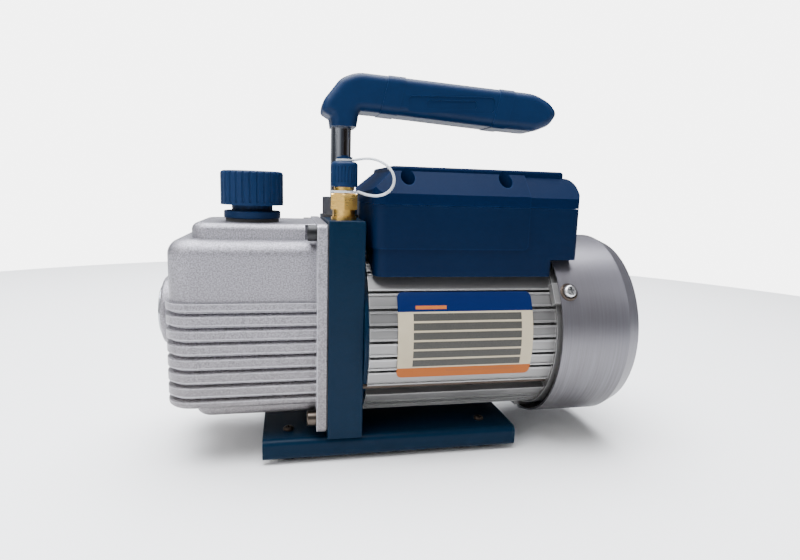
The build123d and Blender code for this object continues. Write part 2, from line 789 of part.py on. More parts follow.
with BuildPart() as grip_bands:
    # slanted slabs that pick out the raised bands
    for x, thick in grip_band_stations:
        with Locations(Plane(origin=(x, 0, grip_bottom), x_dir=(1, 0, -0.045), z_dir=(0.215, 0, 0.977))):
            Box(thick, 60.0, 80.0)
with BuildPart() as handle_grip:
    add(grip_solid(grip_band_proud))
    add(grip_bands.part, mode=Mode.INTERSECT)
    add(grip_solid(0))
    # long shallow panels on both sides, and a shorter one inside each
    for depth, length, height in ((0.5, 52.0, 9.0), (1.0, 30.0, 4.6)):
        for side in (-1, 1):
            with BuildSketch(Plane.XZ.offset(-side * (grip_half_width - depth))):
                with Locations(Location((28.0, 200.4), 2.5)):
                    RectangleRounded(length, height, height * 0.3)
            extrude(amount=-side * 6.0, mode=Mode.SUBTRACT)
    with BuildLine() as bore_path:
        FilletPolyline(
            (handle_x, 0, 170.0),
            (handle_x, 0, arm_z),
            (grip_right - 15.9, 0, arm_z - 3.0),
            radius=14.0,
        )
    with BuildSketch(bore_path.line ^ 0):
        Circle(rod_radius)
    sweep(mode=Mode.SUBTRACT)
handle_grip.part.label = "handle_grip"
export_step(handle_grip.part, "parts/handle_grip.step")

# ======================================================= motor
narrow_grooves = (33.3, 22.2, 11.9, 2.6, -7.2, -16.4, 47.5, 71, 83, -48.5, -58, -68, -78, -88)
channel_angles = (-32.0, 59.0)
groove_width = 1.7
lip_width, lip_height = 0.9, 0.7  # the bright lip along each side of a groove
core_front, core_rear = 8.0, 53.0
core_bore = 23.2

with BuildPart() as motor_housing:
    with BuildSketch(across(housing_front)):
        Circle(housing_radius - lip_height)
        for groove in narrow_grooves + channel_angles:
            width = 2 * lip_width + (8.0 if groove in channel_angles else groove_width)
            for angle in (groove, 180 - groove):
                with PolarLocations(housing_radius - 2.0, 1, start_angle=angle):
                    Rectangle(8.0, width)
        Circle(housing_radius, mode=Mode.INTERSECT)
        for groove in narrow_grooves:
            for angle in (groove, 180 - groove):
                with PolarLocations((rib_root_radius + housing_radius) / 2 + 0.5, 1, start_angle=angle):
                    Rectangle(housing_radius - rib_root_radius + 1.0, groove_width, mode=Mode.SUBTRACT)
        for channel_angle in channel_angles:
            for angle in (channel_angle, 180 - channel_angle):
                with PolarLocations(housing_radius - 1.9, 1, start_angle=angle):
                    Rectangle(6.6, 8.0, mode=Mode.SUBTRACT)
        Circle(housing_bore, mode=Mode.SUBTRACT)
    extrude(amount=housing_rear - housing_front)
motor_housing.part.label = "motor_housing"
export_step(motor_housing.part, "parts/motor_housing.step")

with BuildPart() as stator_core:
    with BuildSketch(across(core_front)):
        Circle(housing_bore)
        Circle(core_bore, mode=Mode.SUBTRACT)
        with PolarLocations(core_bore + 6.5, 24):
            SlotOverall(10.0, 3.0, mode=Mode.SUBTRACT)
    extrude(amount=core_rear - core_front)
stator_core.part.label = "stator_core"
export_step(stator_core.part, "parts/stator_core.step")

winding_length = 14.0
with BuildPart() as stator_windings:
    for start in (core_front - winding_length, core_rear):
        with BuildSketch(across(start)):
            Circle(39.0)
            Circle(25.5, mode=Mode.SUBTRACT)
        extrude(amount=winding_length)
    fillet(stator_windings.edges().group_by(Axis.X)[0], 3.0)
    fillet(stator_windings.edges().group_by(Axis.X)[-1], 3.0)
stator_windings.part.label = "stator_windings"
export_step(stator_windings.part, "parts/stator_windings.step")

with BuildPart() as motor_rotor:
    add(ring(core_front, core_bore - 0.4, shaft_radius, core_rear - core_front))
    add(ring(core_front - 5.0, core_bore - 1.4, 12.0, 5.0))
    add(ring(core_rear, core_bore - 1.4, 12.0, 5.0))
motor_rotor.part.label = "motor_rotor"
export_step(motor_rotor.part, "parts/motor_rotor.step")

rear_bearing_x = 84.0
shield_rear = 90.0
lug_reach = cover_radius - cover_wall - 0.4
with BuildPart() as rear_end_shield:
    with BuildSketch(across(housing_rear)):
        Circle(housing_radius + 1.2)
    extrude(amount=shield_rear - housing_rear)
    with BuildSketch(across(housing_rear)):
        Circle(housing_bore - fit_gap)
        Circle(housing_bore - 4.0, mode=Mode.SUBTRACT)
    extrude(amount=-4.0)
    with BuildSketch(across(housing_rear - 2.0)):
        Circle(bearing_outer + 4.0)
    extrude(amount=rear_bearing_x + bearing_width + 2.0 - housing_rear + 2.0)
    for angle in cover_screw_angles:
        with BuildSketch(across(housing_rear - 2.2)):
            with PolarLocations((lug_reach + housing_radius + 0.3) / 2, 1, start_angle=angle):
                Rectangle(lug_reach - housing_radius - 0.3, 12.0)
        extrude(amount=shield_rear - housing_rear + 8.0)
    with BuildSketch(across(housing_rear)):
        with PolarLocations(31.0, 6, start_angle=30):
            SlotOverall(14.0, 8.0, rotation=90)
    extrude(amount=shield_rear - housing_rear, mode=Mode.SUBTRACT)
    with BuildSketch(across(rear_bearing_x)):
        Circle(bearing_outer)
    extrude(amount=bearing_width, mode=Mode.SUBTRACT)
    with BuildSketch(across(housing_rear - 6.0)):
        Circle(shaft_radius + 1.0)
    extrude(amount=24.0, mode=Mode.SUBTRACT)
    with BuildSketch(across(housing_rear)):
        for angle in tie_angles:
            with PolarLocations(tie_circle, 1, start_angle=angle):
                Circle(tie_radius + fit_gap)
    extrude(amount=shield_rear - housing_rear, mode=Mode.SUBTRACT)
    for angle in cover_screw_angles:
        radial = Plane(
            origin=(cover_rim + 5.2, 0, axis_z),
            z_dir=(0, math.cos(math.radians(angle)), math.sin(math.radians(angle))),
        )
        with BuildSketch(radial.offset(lug_reach - 5.0)):
            Circle(2.0 + fit_gap)
        extrude(amount=8.0, mode=Mode.SUBTRACT)
rear_end_shield.part.label = "rear_end_shield"
export_step(rear_end_shield.part, "parts/rear_end_shield.step")

with BuildPart() as tie_rods:
    with BuildSketch(across(bracket_rear - 9.0)):
        for angle in tie_angles:
            with PolarLocations(tie_circle, 1, start_angle=angle):
                Circle(tie_radius)
    extrude(amount=shield_rear + 4.0 - bracket_rear + 9.0)
    with BuildSketch(across(shield_rear)):
        for angle in tie_angles:
            with PolarLocations(tie_circle, 1, start_angle=angle):
                RegularPolygon(3.1, 6, major_radius=False)
    extrude(amount=3.2)
tie_rods.part.label = "tie_rods"
export_step(tie_rods.part, "parts/tie_rods.step")

# ------------------------------------------------------- bearings and shaft seal
ball_radius = 2.6
pitch_radius = 11.0
bearing_starts = (bracket_rear - bearing_width, rear_bearing_x)
with BuildPart() as bearing_outer_rings:
    for start in bearing_starts:
        add(ring(start, bearing_outer, bearing_outer - 2.6, bearing_width))
bearing_outer_rings.part.label = "bearing_outer_rings"
export_step(bearing_outer_rings.part, "parts/bearing_outer_rings.step")

with BuildPart() as bearing_inner_rings:
    for start in bearing_starts:
        add(ring(start, pitch_radius - ball_radius - 0.1, shaft_radius, bearing_width))
bearing_inner_rings.part.label = "bearing_inner_rings"
export_step(bearing_inner_rings.part, "parts/bearing_inner_rings.step")

with BuildPart() as bearing_balls:
    for start in bearing_starts:
        with Locations(across(start + bearing_width / 2)):
            with PolarLocations(pitch_radius, 8):
                Sphere(ball_radius - 0.3)
bearing_balls.part.label = "bearing_balls"
export_step(bearing_balls.part, "parts/bearing_balls.step")

with BuildPart() as shaft_seal:
    add(ring(bracket_front, seal_outer, shaft_radius + fit_gap, seal_width))
shaft_seal.part.label = "shaft_seal"
export_step(shaft_seal.part, "parts/shaft_seal.step")

# ======================================================= pump inside the oil case
rotor_rear = bracket_front - 0.1
rotor_front = rotor_rear - rotor_length
cylinder_front = rotor_front - 0.1
end_plate_thick = 9.0
pump_half_width = 31.0

with BuildPart() as pump_cylinder:
    with BuildSketch(across(cylinder_front)):
        with Locations((0, 5.0)):
            RectangleRounded(2 * pump_half_width, 62.0, 6.0)
        with Locations((0, eccentricity)):
            Circle(cylinder_bore, mode=Mode.SUBTRACT)
        with Locations(*pump_bolt_points):
            Circle(2.5 + fit_gap, mode=Mode.SUBTRACT)
    extrude(amount=bracket_front - cylinder_front)
    with BuildSketch(across(bracket_front)):
        with Locations((passage_y, passage_z - axis_z)):
            Circle(3.0)
    extrude(amount=-12.0, mode=Mode.SUBTRACT)
    slant = Plane(
        origin=(bracket_front - 9.0, passage_y, passage_z),
        z_dir=(0, -passage_y, axis_z + eccentricity - passage_z),
    )
    with BuildSketch(slant):
        Circle(2.5)
    extrude(amount=12.0, mode=Mode.SUBTRACT)
    with BuildSketch(level(axis_z + 36.0)):
        with Locations((rotor_front + 10.0, 0), (rotor_front + 28.0, 0)):
            Circle(2.5)
    extrude(amount=-16.0, mode=Mode.SUBTRACT)
pump_cylinder.part.label = "pump_cylinder"
export_step(pump_cylinder.part, "parts/pump_cylinder.step")

with BuildPart() as pump_end_plate:
    with BuildSketch(across(cylinder_front)):
        with Locations((0, 5.0)):
            RectangleRounded(2 * pump_half_width, 62.0, 6.0)
        with Locations(*pump_bolt_points):
            Circle(2.5 + fit_gap, mode=Mode.SUBTRACT)
    extrude(amount=-end_plate_thick)
    with BuildSketch(across(cylinder_front)):
        Circle(shaft_radius + fit_gap)
    extrude(amount=-6.0, mode=Mode.SUBTRACT)
pump_end_plate.part.label = "pump_end_plate"
export_step(pump_end_plate.part, "parts/pump_end_plate.step")

pump_bolt_seat = cylinder_front - end_plate_thick
with BuildPart() as pump_bolts:
    with Locations(
        *[
            Plane(origin=(pump_bolt_seat, y, z + axis_z), z_dir=(-1, 0, 0))
            for y, z in pump_bolt_points
        ]
    ):
        add(socket_screw(4.25, 5.0, 2.5, bracket_front - pump_bolt_seat + 12.0))
pump_bolts.part.label = "pump_bolts"
export_step(pump_bolts.part, "parts/pump_bolts.step")

with BuildPart() as exhaust_valve:
    with BuildSketch(level(axis_z + 36.0)):
        with Locations((rotor_front + 19.0, 0)):
            RectangleRounded(30.0, 12.0, 3.0)
    extrude(amount=0.4)
    with BuildSketch(level(axis_z + 36.4)):
        for x in (rotor_front + 6.0, rotor_front + 32.0):
            with Locations((x, 0)):
                Circle(2.6)
    extrude(amount=2.0)
exhaust_valve.part.label = "exhaust_valve"
export_step(exhaust_valve.part, "parts/exhaust_valve.step")

slot_width = 4.0
slot_root = 8.0
with BuildPart() as pump_rotor:
    add(ring(rotor_front, rotor_radius, shaft_radius, rotor_length))
    with BuildSketch(across(rotor_front)):
        for side in (-1, 1):
            with Locations((side * (slot_root + rotor_radius + 1.0) / 2, 0)):
                Rectangle(rotor_radius + 1.0 - slot_root, slot_width)
    extrude(amount=rotor_length, mode=Mode.SUBTRACT)
pump_rotor.part.label = "pump_rotor"
export_step(pump_rotor.part, "parts/pump_rotor.step")


def vane(side):
    """One vane, drawn in until its tip is level with the rotor."""
    tip = rotor_radius - 0.1
    with BuildPart() as made:
        with BuildSketch(across(rotor_front + (rotor_length - vane_width) / 2)):
            with Locations((side * (12.0 + tip) / 2, 0)):
                Rectangle(tip - 12.0, vane_thick)
        extrude(amount=vane_width)
    return made.part


with BuildPart() as near_vane:
    add(vane(-1))
near_vane.part.label = "near_vane"
export_step(near_vane.part, "parts/near_vane.step")

with BuildPart() as far_vane:
    add(vane(1))
far_vane.part.label = "far_vane"
export_step(far_vane.part, "parts/far_vane.step")

with BuildPart() as vane_springs:
    for x in (rotor_front + 10.0, rotor_front + 28.0):
        for side in (-1, 1):
            with BuildSketch(Plane(origin=(x, side * (slot_root + 0.1), axis_z), z_dir=(0, side, 0))):
                Circle(1.7)
                Circle(1.1, mode=Mode.SUBTRACT)
            extrude(amount=3.5)
vane_springs.part.label = "vane_springs"
export_step(vane_springs.part, "parts/vane_springs.step")

shaft_front, shaft_rear = cylinder_front - 5.5, 122.0
with BuildPart() as drive_shaft:
    with BuildSketch(across(shaft_front)):
        Circle(shaft_radius)
    extrude(amount=shaft_rear - shaft_front)
    chamfer(drive_shaft.edges(), 0.6)
drive_shaft.part.label = "drive_shaft"
export_step(drive_shaft.part, "parts/drive_shaft.step")

# ======================================================= fan and cover
fan_front, fan_rear = 101.0, 119.0
fan_radius = 49.0
with BuildPart() as cooling_fan:
    add(ring(fan_front, 12.0, shaft_radius, fan_rear - fan_front))
    add(ring(fan_front, 30.0, 11.0, 2.0))
    with BuildSketch(across(fan_front)):
        with PolarLocations((fan_radius + 11.0) / 2, 10):
            Rectangle(fan_radius - 11.0, 1.8)
    extrude(amount=fan_rear - fan_front - 2.0)
cooling_fan.part.label = "cooling_fan"
export_step(cooling_fan.part, "parts/cooling_fan.step")

with BuildPart() as fan_clip:
    add(ring(fan_rear, 8.2, shaft_radius, 1.0))
    with BuildSketch(across(fan_rear)):
        with Locations((0, 8.0)):
            Rectangle(2.5, 8.0)
    extrude(amount=1.0, mode=Mode.SUBTRACT)
fan_clip.part.label = "fan_clip"
export_step(fan_clip.part, "parts/fan_clip.step")

with BuildPart() as fan_cover:
    with BuildSketch(Plane.XZ):
        with BuildLine():
            Polyline(
                (cover_rim, axis_z),
                (cover_rim, axis_z + cover_radius),
                (cover_shoulder, axis_z + cover_radius),
                (cover_end - 0.6, axis_z + cover_end_radius),
                (cover_end, axis_z + cover_end_radius - 1.2),
                (cover_end, axis_z),
                close=True,
            )
        make_face()
    revolve(axis=Axis((0, 0, axis_z), (1, 0, 0)))
    fillet(fan_cover.edges().filter_by(GeomType.CIRCLE).group_by(Axis.X)[1], 2.0)
    with BuildSketch(Plane.XZ):
        with BuildLine():
            Polyline(
                (cover_rim, axis_z),
                (cover_rim, axis_z + cover_radius - cover_wall),
                (cover_shoulder - 0.2, axis_z + cover_radius - cover_wall),
                (cover_end - cover_wall, axis_z + cover_end_radius - cover_wall),
                (cover_end - cover_wall, axis_z),
                close=True,
            )
        make_face()
    revolve(axis=Axis((0, 0, axis_z), (1, 0, 0)), mode=Mode.SUBTRACT)
    with BuildSketch(across(cover_end)):
        with PolarLocations(20.0, 16):
            SlotOverall(13.0, 3.0)
        with PolarLocations(38.5, 32):
            SlotOverall(14.0, 3.2)
    extrude(amount=-2 * cover_wall, mode=Mode.SUBTRACT)
    for angle in cover_screw_angles:
        radial = Plane(
            origin=(cover_rim + 5.2, 0, axis_z),
            z_dir=(0, math.cos(math.radians(angle)), math.sin(math.radians(angle))),
        )
        with BuildSketch(radial.offset(cover_radius - 4.0)):
            Circle(2.0 + fit_gap)
        extrude(amount=6.0, mode=Mode.SUBTRACT)
fan_cover.part.label = "fan_cover"
export_step(fan_cover.part, "parts/fan_cover.step")

with BuildPart() as fan_cover_screws:
    with Locations(
        *[
            Plane(
                origin=(
                    cover_rim + 5.2,
                    (cover_radius + 0.05) * math.cos(math.radians(angle)),
                    axis_z + (cover_radius + 0.05) * math.sin(math.radians(angle)),
                ),
                z_dir=(0, math.cos(math.radians(angle)), math.sin(math.radians(angle))),
            )
            for angle in cover_screw_angles
        ]
    ):
        add(cross_screw(3.7, 3.2, 2.0, 5.6))
fan_cover_screws.part.label = "fan_cover_screws"
export_step(fan_cover_screws.part, "parts/fan_cover_screws.step")

# ======================================================= nameplate on the housing
plate_front, plate_rear = -7.6, 69.5
plate_top_angle, plate_bottom_angle = 33.0, -21.0
plate_outer = housing_radius + 0.45
with BuildPart() as nameplate:
    # a curved strip a little too large, then cut to its outline as seen from the side
    with BuildSketch(across(plate_front - 2.0)):
        with BuildLine():
            outer = CenterArc((0, 0), plate_outer, 145, 65)
            inner = CenterArc((0, 0), housing_radius, 145, 65)
            Line(outer @ 0, inner @ 0)
            Line(outer @ 1, inner @ 1)
        make_face()
    extrude(amount=plate_rear - plate_front + 4.0)
    plate_z_top = axis_z + plate_outer * math.sin(math.radians(plate_top_angle))
    plate_z_bottom = axis_z + plate_outer * math.sin(math.radians(plate_bottom_angle))
    with BuildSketch(Plane.XZ):
        with Locations(((plate_front + plate_rear) / 2, (plate_z_top + plate_z_bottom) / 2)):
            RectangleRounded(plate_rear - plate_front, plate_z_top - plate_z_bottom, 3.0)
    extrude(amount=plate_outer + 1.0, mode=Mode.INTERSECT)
nameplate.part.label = "nameplate"
export_step(nameplate.part, "parts/nameplate.step")

# ======================================================= terminal box
box_bulge = 3.0  # the front end bows out by this much
side_slope, front_slope = 11.0, 13.0  # how far the roof slopes reach in
top_plate_left, top_plate_right = -10.4, 91.4
body_clear = housing_radius + 1.4
cover_clear = cover_radius + 0.9
box_wall = 2.6


def box_outline(plane, left, right, half_width, corner, rear_corner):
    """The box's plan: straight sides, a front end that bows out, a flat rear end."""
    with BuildSketch(plane) as outline:
        with BuildLine():
            Line((left + box_bulge, -half_width), (right, -half_width))
            Line((right, -half_width), (right, half_width))
            Line((right, half_width), (left + box_bulge, half_width))
            ThreePointArc((left + box_bulge, half_width), (left, 0), (left + box_bulge, -half_width))
        make_face()
        fillet(outline.vertices().group_by(Axis.X)[0], corner)
        fillet(outline.vertices().group_by(Axis.X)[-1], rear_corner)
    return outline.sketch


def box_solid(inset, skin=0.0):
    """The whole box, base and lid together, taken in by inset all round.

    skin lets the sides and the front stand out again, for the raised panel.
    """
    half_width = box_half_width - inset + skin
    left, right = box_left + inset - skin, box_right - inset
    eaves = box_eaves_z + skin * 0.4
    ridge = box_ridge_z - inset + skin
    with BuildPart() as made:
        extrude(
            box_outline(level(box_bottom), left, box_step_x - inset, half_width, 7.0 - inset, 3.0),
            amount=box_step_z + inset - box_bottom,
        )
        extrude(
            box_outline(level(box_step_z + inset), left, right, half_width, 7.0 - inset, 3.0),
            amount=ridge - box_step_z - inset,
        )
        # the roof slopes: down to both sides, down to the front, and rounded at the rear
        with BuildSketch(Plane.YZ.offset(box_left - 20.0)):
            with BuildLine():
                Polyline(
                    (-half_width, box_bottom),
                    (-half_width, eaves),
                    (-half_width + side_slope, ridge),
                    (half_width - side_slope, ridge),
                    (half_width, eaves),
                    (half_width, box_bottom),
                    close=True,
                )
            make_face()
        extrude(amount=200.0, mode=Mode.INTERSECT)
        with BuildSketch(Plane.XZ.offset(-box_half_width - 20.0)) as side_view:
            with BuildLine():
                Polyline(
                    (left, box_bottom),
                    (left, eaves),
                    (left + front_slope, ridge),
                    (right, ridge),
                    (right, box_bottom),
                    close=True,
                )
            make_face()
            fillet(side_view.vertices().sort_by_distance((right, ridge, 0))[0], 6.0)
        extrude(amount=2 * box_half_width + 40.0, mode=Mode.INTERSECT)
    return made.part


shell_inside = box_solid(box_wall)
box_whole = box_solid(0.0)

with BuildPart() as box_blank:
    # raised panel over the front three quarters, up the slopes to the ridge
    add(box_solid(0.0, skin=panel_proud))
    with BuildSketch(Plane.XZ.offset(-box_half_width - 20.0)):
        with Locations(((panel_rear + box_left - 20.0) / 2, (panel_bottom + box_ridge_z + 20.0) / 2)):
            RectangleRounded(panel_rear - box_left + 20.0, box_ridge_z + 20.0 - panel_bottom, 2.5)
    extrude(amount=2 * box_half_width + 40.0, mode=Mode.INTERSECT)
    with BuildSketch(level(box_bottom)):
        with Locations((0, 100.0)):
            Rectangle(300.0, 200.0)
    extrude(amount=box_eaves_z - box_bottom, mode=Mode.SUBTRACT)
    add(box_whole)
    with BuildSketch(level(box_ridge_z - 0.5)):
        with Locations(((top_plate_left + top_plate_right) / 2, 0)):
            RectangleRounded(
                top_plate_right - top_plate_left, 2 * (box_half_width - side_slope) + 0.6, 3.5
            )
    extrude(amount=box_top_z - box_ridge_z + 0.5)
    fillet(box_blank.edges().group_by(Axis.Z)[-1], 1.8)
    # hollow, then room for the housing and the fan cover underneath
    add(shell_inside, mode=Mode.SUBTRACT)
with BuildPart() as box_floor:
    with BuildSketch(across(box_left + 1.5)):
        Circle(body_clear + box_wall)
    extrude(amount=box_step_x - 1.5 - box_left - 1.5)
    with BuildSketch(across(box_step_x - 1.5)):
        Circle(cover_clear + box_wall)
    extrude(amount=box_right - box_step_x)
    add(box_solid(1.0), mode=Mode.INTERSECT)
with BuildPart() as under_room:
    with BuildSketch(across(box_left - 10.0)):
        Circle(body_clear)
    extrude(amount=box_step_x - box_left + 10.0)
    with BuildSketch(across(box_step_x)):
        Circle(cover_clear)
    extrude(amount=40.0)

switch_x, inlet_x, outlet_z = 31.0, 70.4, 131.4
switch_cut = (20.0, 13.4)
inlet_cut = (27.4, 19.6)
lid_screw_points = [(-1.9, 36.0), (53.8, 36.0)]
with BuildPart() as terminal_box:
    add(box_blank.part)
    add(box_floor.part)
    add(under_room.part, mode=Mode.SUBTRACT)
    with BuildSketch(level(box_split_z)):
        Rectangle(400, 400)
    extrude(amount=60.0, mode=Mode.SUBTRACT)
    with BuildSketch(Plane.XZ.offset(-box_half_width - 5.0)):
        with Locations((switch_x, outlet_z)):
            Rectangle(*switch_cut)
        with Locations((inlet_x, outlet_z)):
            Rectangle(*inlet_cut)
    extrude(amount=12.0, mode=Mode.SUBTRACT)
    with BuildSketch(level(box_split_z - 12.0)):
        for x, y in lid_screw_points:
            with Locations((x, y), (x, -y)):
                Circle(2.7)
            with Locations((x, y + 2.6), (x, -y - 2.6)):
                Rectangle(5.4, 5.2)
    extrude(amount=12.0)
    with BuildSketch(level(box_split_z)):
        for x, y in lid_screw_points:
            with Locations((x, y), (x, -y)):
                Circle(1.5 + fit_gap)
    extrude(amount=-9.0, mode=Mode.SUBTRACT)
terminal_box.part.label = "terminal_box"
export_step(terminal_box.part, "parts/terminal_box.step")

lid_gap = 0.2
screw_seat_z = 149.2
with BuildPart() as lid_posts:
    with BuildSketch(level(box_split_z + lid_gap)):
        for x, y in lid_screw_points:
            with Locations((x, y), (x, -y)):
                Circle(5.4)
    extrude(amount=20.0)
    add(box_whole, mode=Mode.INTERSECT)
with BuildPart() as terminal_lid:
    add(box_blank.part)
    with BuildSketch(level(box_split_z + lid_gap)):
        Rectangle(400, 400)
    extrude(amount=-60.0, mode=Mode.SUBTRACT)
    add(lid_posts.part)
    with BuildSketch(level(screw_seat_z)):
        for x, y in lid_screw_points:
            with Locations((x, y), (x, -y)):
                Circle(3.9)
    extrude(amount=20.0, mode=Mode.SUBTRACT)
    with BuildSketch(level(screw_seat_z)):
        for x, y in lid_screw_points:
            with Locations((x, y), (x, -y)):
                Circle(1.5 + fit_gap)
    extrude(amount=-9.0, mode=Mode.SUBTRACT)
terminal_lid.part.label = "terminal_lid"
export_step(terminal_lid.part, "parts/terminal_lid.step")

with BuildPart() as lid_screws:
    with Locations(*[(x, s * y, screw_seat_z) for x, y in lid_screw_points for s in (-1, 1)]):
        add(cross_screw(2.9, 1.9, 1.5, 11.0))
lid_screws.part.label = "lid_screws"
export_step(lid_screws.part, "parts/lid_screws.step")

# ------------------------------------------------------- electrical pieces
bezel_thick_side = 2.4
wall_face = -box_half_width  # the far wall's outer face, as an offset of Plane.XZ
with BuildPart() as rocker_bezel:
    with BuildSketch(Plane.XZ.offset(wall_face - bezel_thick_side)):
        with Locations((switch_x, outlet_z)):
            RectangleRounded(24.0, 17.0, 1.0)
    extrude(amount=bezel_thick_side)
    with BuildSketch(Plane.XZ.offset(wall_face)):
        with Locations((switch_x, outlet_z)):
            Rectangle(switch_cut[0] - 0.2, switch_cut[1] - 0.2)
    extrude(amount=15.0)
    with BuildSketch(Plane.XZ.offset(wall_face - bezel_thick_side)):
        with Locations((switch_x, outlet_z)):
            Rectangle(18.0, 10.8)
    extrude(amount=12.0, mode=Mode.SUBTRACT)
rocker_bezel.part.label = "rocker_bezel"
export_step(rocker_bezel.part, "parts/rocker_bezel.step")

rocker_half = 7.2
rocker_y = box_half_width - 1.6  # the rocker's pivot
with BuildPart() as rocker_switch:
    with BuildSketch(level(outlet_z - 5.0)):
        with BuildLine():
            Polyline(
                (switch_x - rocker_half, rocker_y + 3.6),
                (switch_x, rocker_y + 4.0),
                (switch_x + rocker_half, rocker_y + 6.2),
                (switch_x + rocker_half - 2.4, rocker_y - 2.0),
                (switch_x - rocker_half + 1.4, rocker_y - 2.0),
                close=True,
            )
        make_face()
    extrude(amount=10.0)
rocker_switch.part.label = "rocker_switch"
export_step(rocker_switch.part, "parts/rocker_switch.step")

with BuildPart() as power_inlet:
    with BuildSketch(Plane.XZ.offset(wall_face - bezel_thick_side)):
        with Locations((inlet_x, outlet_z)):
            RectangleRounded(31.0, 23.0, 2.0)
    extrude(amount=bezel_thick_side)
    with BuildSketch(Plane.XZ.offset(wall_face)):
        with Locations((inlet_x, outlet_z)):
            Rectangle(inlet_cut[0] - 0.2, inlet_cut[1] - 0.2)
    extrude(amount=13.0)
    with BuildSketch(Plane.XZ.offset(wall_face - bezel_thick_side)):
        with Locations((inlet_x, outlet_z)):
            RectangleRounded(24.0, 16.2, 2.4)
    extrude(amount=13.4, mode=Mode.SUBTRACT)
power_inlet.part.label = "power_inlet"
export_step(power_inlet.part, "parts/power_inlet.step")

with BuildPart() as inlet_pins:
    with BuildSketch(Plane.XZ.offset(wall_face + 11.0)):
        with Locations(
            (inlet_x - 7.0, outlet_z - 1.5),
            (inlet_x + 7.0, outlet_z - 1.5),
            (inlet_x, outlet_z + 2.5),
        ):
            Rectangle(2.0, 4.0)
    extrude(amount=-10.0)
inlet_pins.part.label = "inlet_pins"
export_step(inlet_pins.part, "parts/inlet_pins.step")

capacitor_radius, capacitor_y = 12.5, -14.0
floor_radius = body_clear + box_wall  # inside of the box's floor, round the shaft
capacitor_z = axis_z + math.sqrt((floor_radius + capacitor_radius + 0.1) ** 2 - capacitor_y**2)
with BuildPart() as run_capacitor:
    with BuildSketch(Plane.YZ.offset(12.0)):
        with Locations((capacitor_y, capacitor_z)):
            Circle(capacitor_radius)
    extrude(amount=46.0)
    fillet(run_capacitor.edges().filter_by(GeomType.CIRCLE), 1.5)
run_capacitor.part.label = "run_capacitor"
export_step(run_capacitor.part, "parts/run_capacitor.step")

block_bottom, block_height = axis_z + floor_radius + 0.1, 9.0
with BuildPart() as terminal_block:
    with BuildSketch(level(block_bottom)):
        with Locations((-3.0, 0.0)):
            Rectangle(16.0, 40.0)
    extrude(amount=block_height)
    with BuildSketch(level(block_bottom + block_height)):
        with Locations((-3.0, 0.0)):
            with GridLocations(8.0, 9.0, 2, 4):
                Circle(2.0)
    extrude(amount=-2.0, mode=Mode.SUBTRACT)
terminal_block.part.label = "terminal_block"
export_step(terminal_block.part, "parts/terminal_block.step")
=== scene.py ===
# %% [markdown]
# # A rotary vane vacuum pump
#
# This lesson dresses a finished engineering model of a small vacuum pump: an oil case with
# cooling grooves, a square blue block, a ribbed motor with a terminal box on top, a fan cover,
# and a carrying handle. The engineering model gives every shape that was milled, cast or
# pressed. Here we give each of them its real finish. We also model two things that the
# engineering model only blocks out or leaves out: the strap that keeps the intake cap from
# getting lost, and the cup washers round the fan cover's screws.
#
# We start by loading the model.

# %% Load the engineering model
import bmesh
import bpy
import math
from mathutils import Matrix, Vector


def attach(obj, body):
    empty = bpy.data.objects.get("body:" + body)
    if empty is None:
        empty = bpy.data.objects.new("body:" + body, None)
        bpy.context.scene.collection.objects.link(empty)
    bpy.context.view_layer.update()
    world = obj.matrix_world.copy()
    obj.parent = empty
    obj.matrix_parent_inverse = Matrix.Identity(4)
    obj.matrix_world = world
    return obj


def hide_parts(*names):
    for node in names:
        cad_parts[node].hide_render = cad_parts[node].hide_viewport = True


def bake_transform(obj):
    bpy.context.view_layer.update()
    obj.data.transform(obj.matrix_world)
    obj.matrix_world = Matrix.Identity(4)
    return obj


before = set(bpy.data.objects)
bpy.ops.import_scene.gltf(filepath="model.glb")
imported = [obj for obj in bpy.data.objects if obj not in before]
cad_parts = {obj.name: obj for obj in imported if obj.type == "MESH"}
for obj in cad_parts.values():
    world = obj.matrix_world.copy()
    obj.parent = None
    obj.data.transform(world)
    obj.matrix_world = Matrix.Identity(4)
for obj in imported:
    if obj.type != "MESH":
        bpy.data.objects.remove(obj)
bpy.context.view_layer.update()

# %% [markdown]
# ## The camera
#
# A camera looks along its own -Z. We know where it stands and how it is turned: a little to
# the right, a little down, and with a slight lean. Building its matrix from a forward, a right
# and an up direction is clearer than stacking rotations, because each column is a direction
# that we can print and check.

# %% Place the camera
camera_yaw, camera_pitch, camera_lean = 0.20605, 0.16339, 0.03043
camera_spot = Vector((-0.06548, -0.32779, 0.15130))
forward = Vector((
    math.sin(camera_yaw) * math.cos(camera_pitch),
    math.cos(camera_yaw) * math.cos(camera_pitch),
    -math.sin(camera_pitch),
))
level_right = Vector((math.cos(camera_yaw), -math.sin(camera_yaw), 0.0))
level_up = level_right.cross(forward)
right = math.cos(camera_lean) * level_right + math.sin(camera_lean) * level_up
up = math.cos(camera_lean) * level_up - math.sin(camera_lean) * level_right
turned = Matrix((right, up, -forward)).transposed()
camera_data = bpy.data.cameras.new("studio_camera")
camera_data.sensor_width = 36.0
camera_data.lens = 24.65
camera_data.clip_start = 0.01
camera = bpy.data.objects.new("studio_camera", camera_data)
camera.matrix_world = Matrix.Translation(camera_spot) @ turned.to_4x4()
bpy.context.scene.collection.objects.link(camera)
bpy.context.scene.camera = camera
print("camera looks along", [round(v, 3) for v in forward])

# %% [markdown]
# ## The cap's strap
#
# The intake cap hangs on a thin clear strap, so that it can't be lost. A strap like this is one
# smooth bent line with a round section. We lay a NURBS curve through its route: the line starts
# and ends exactly at the two rings, and bends gently between.

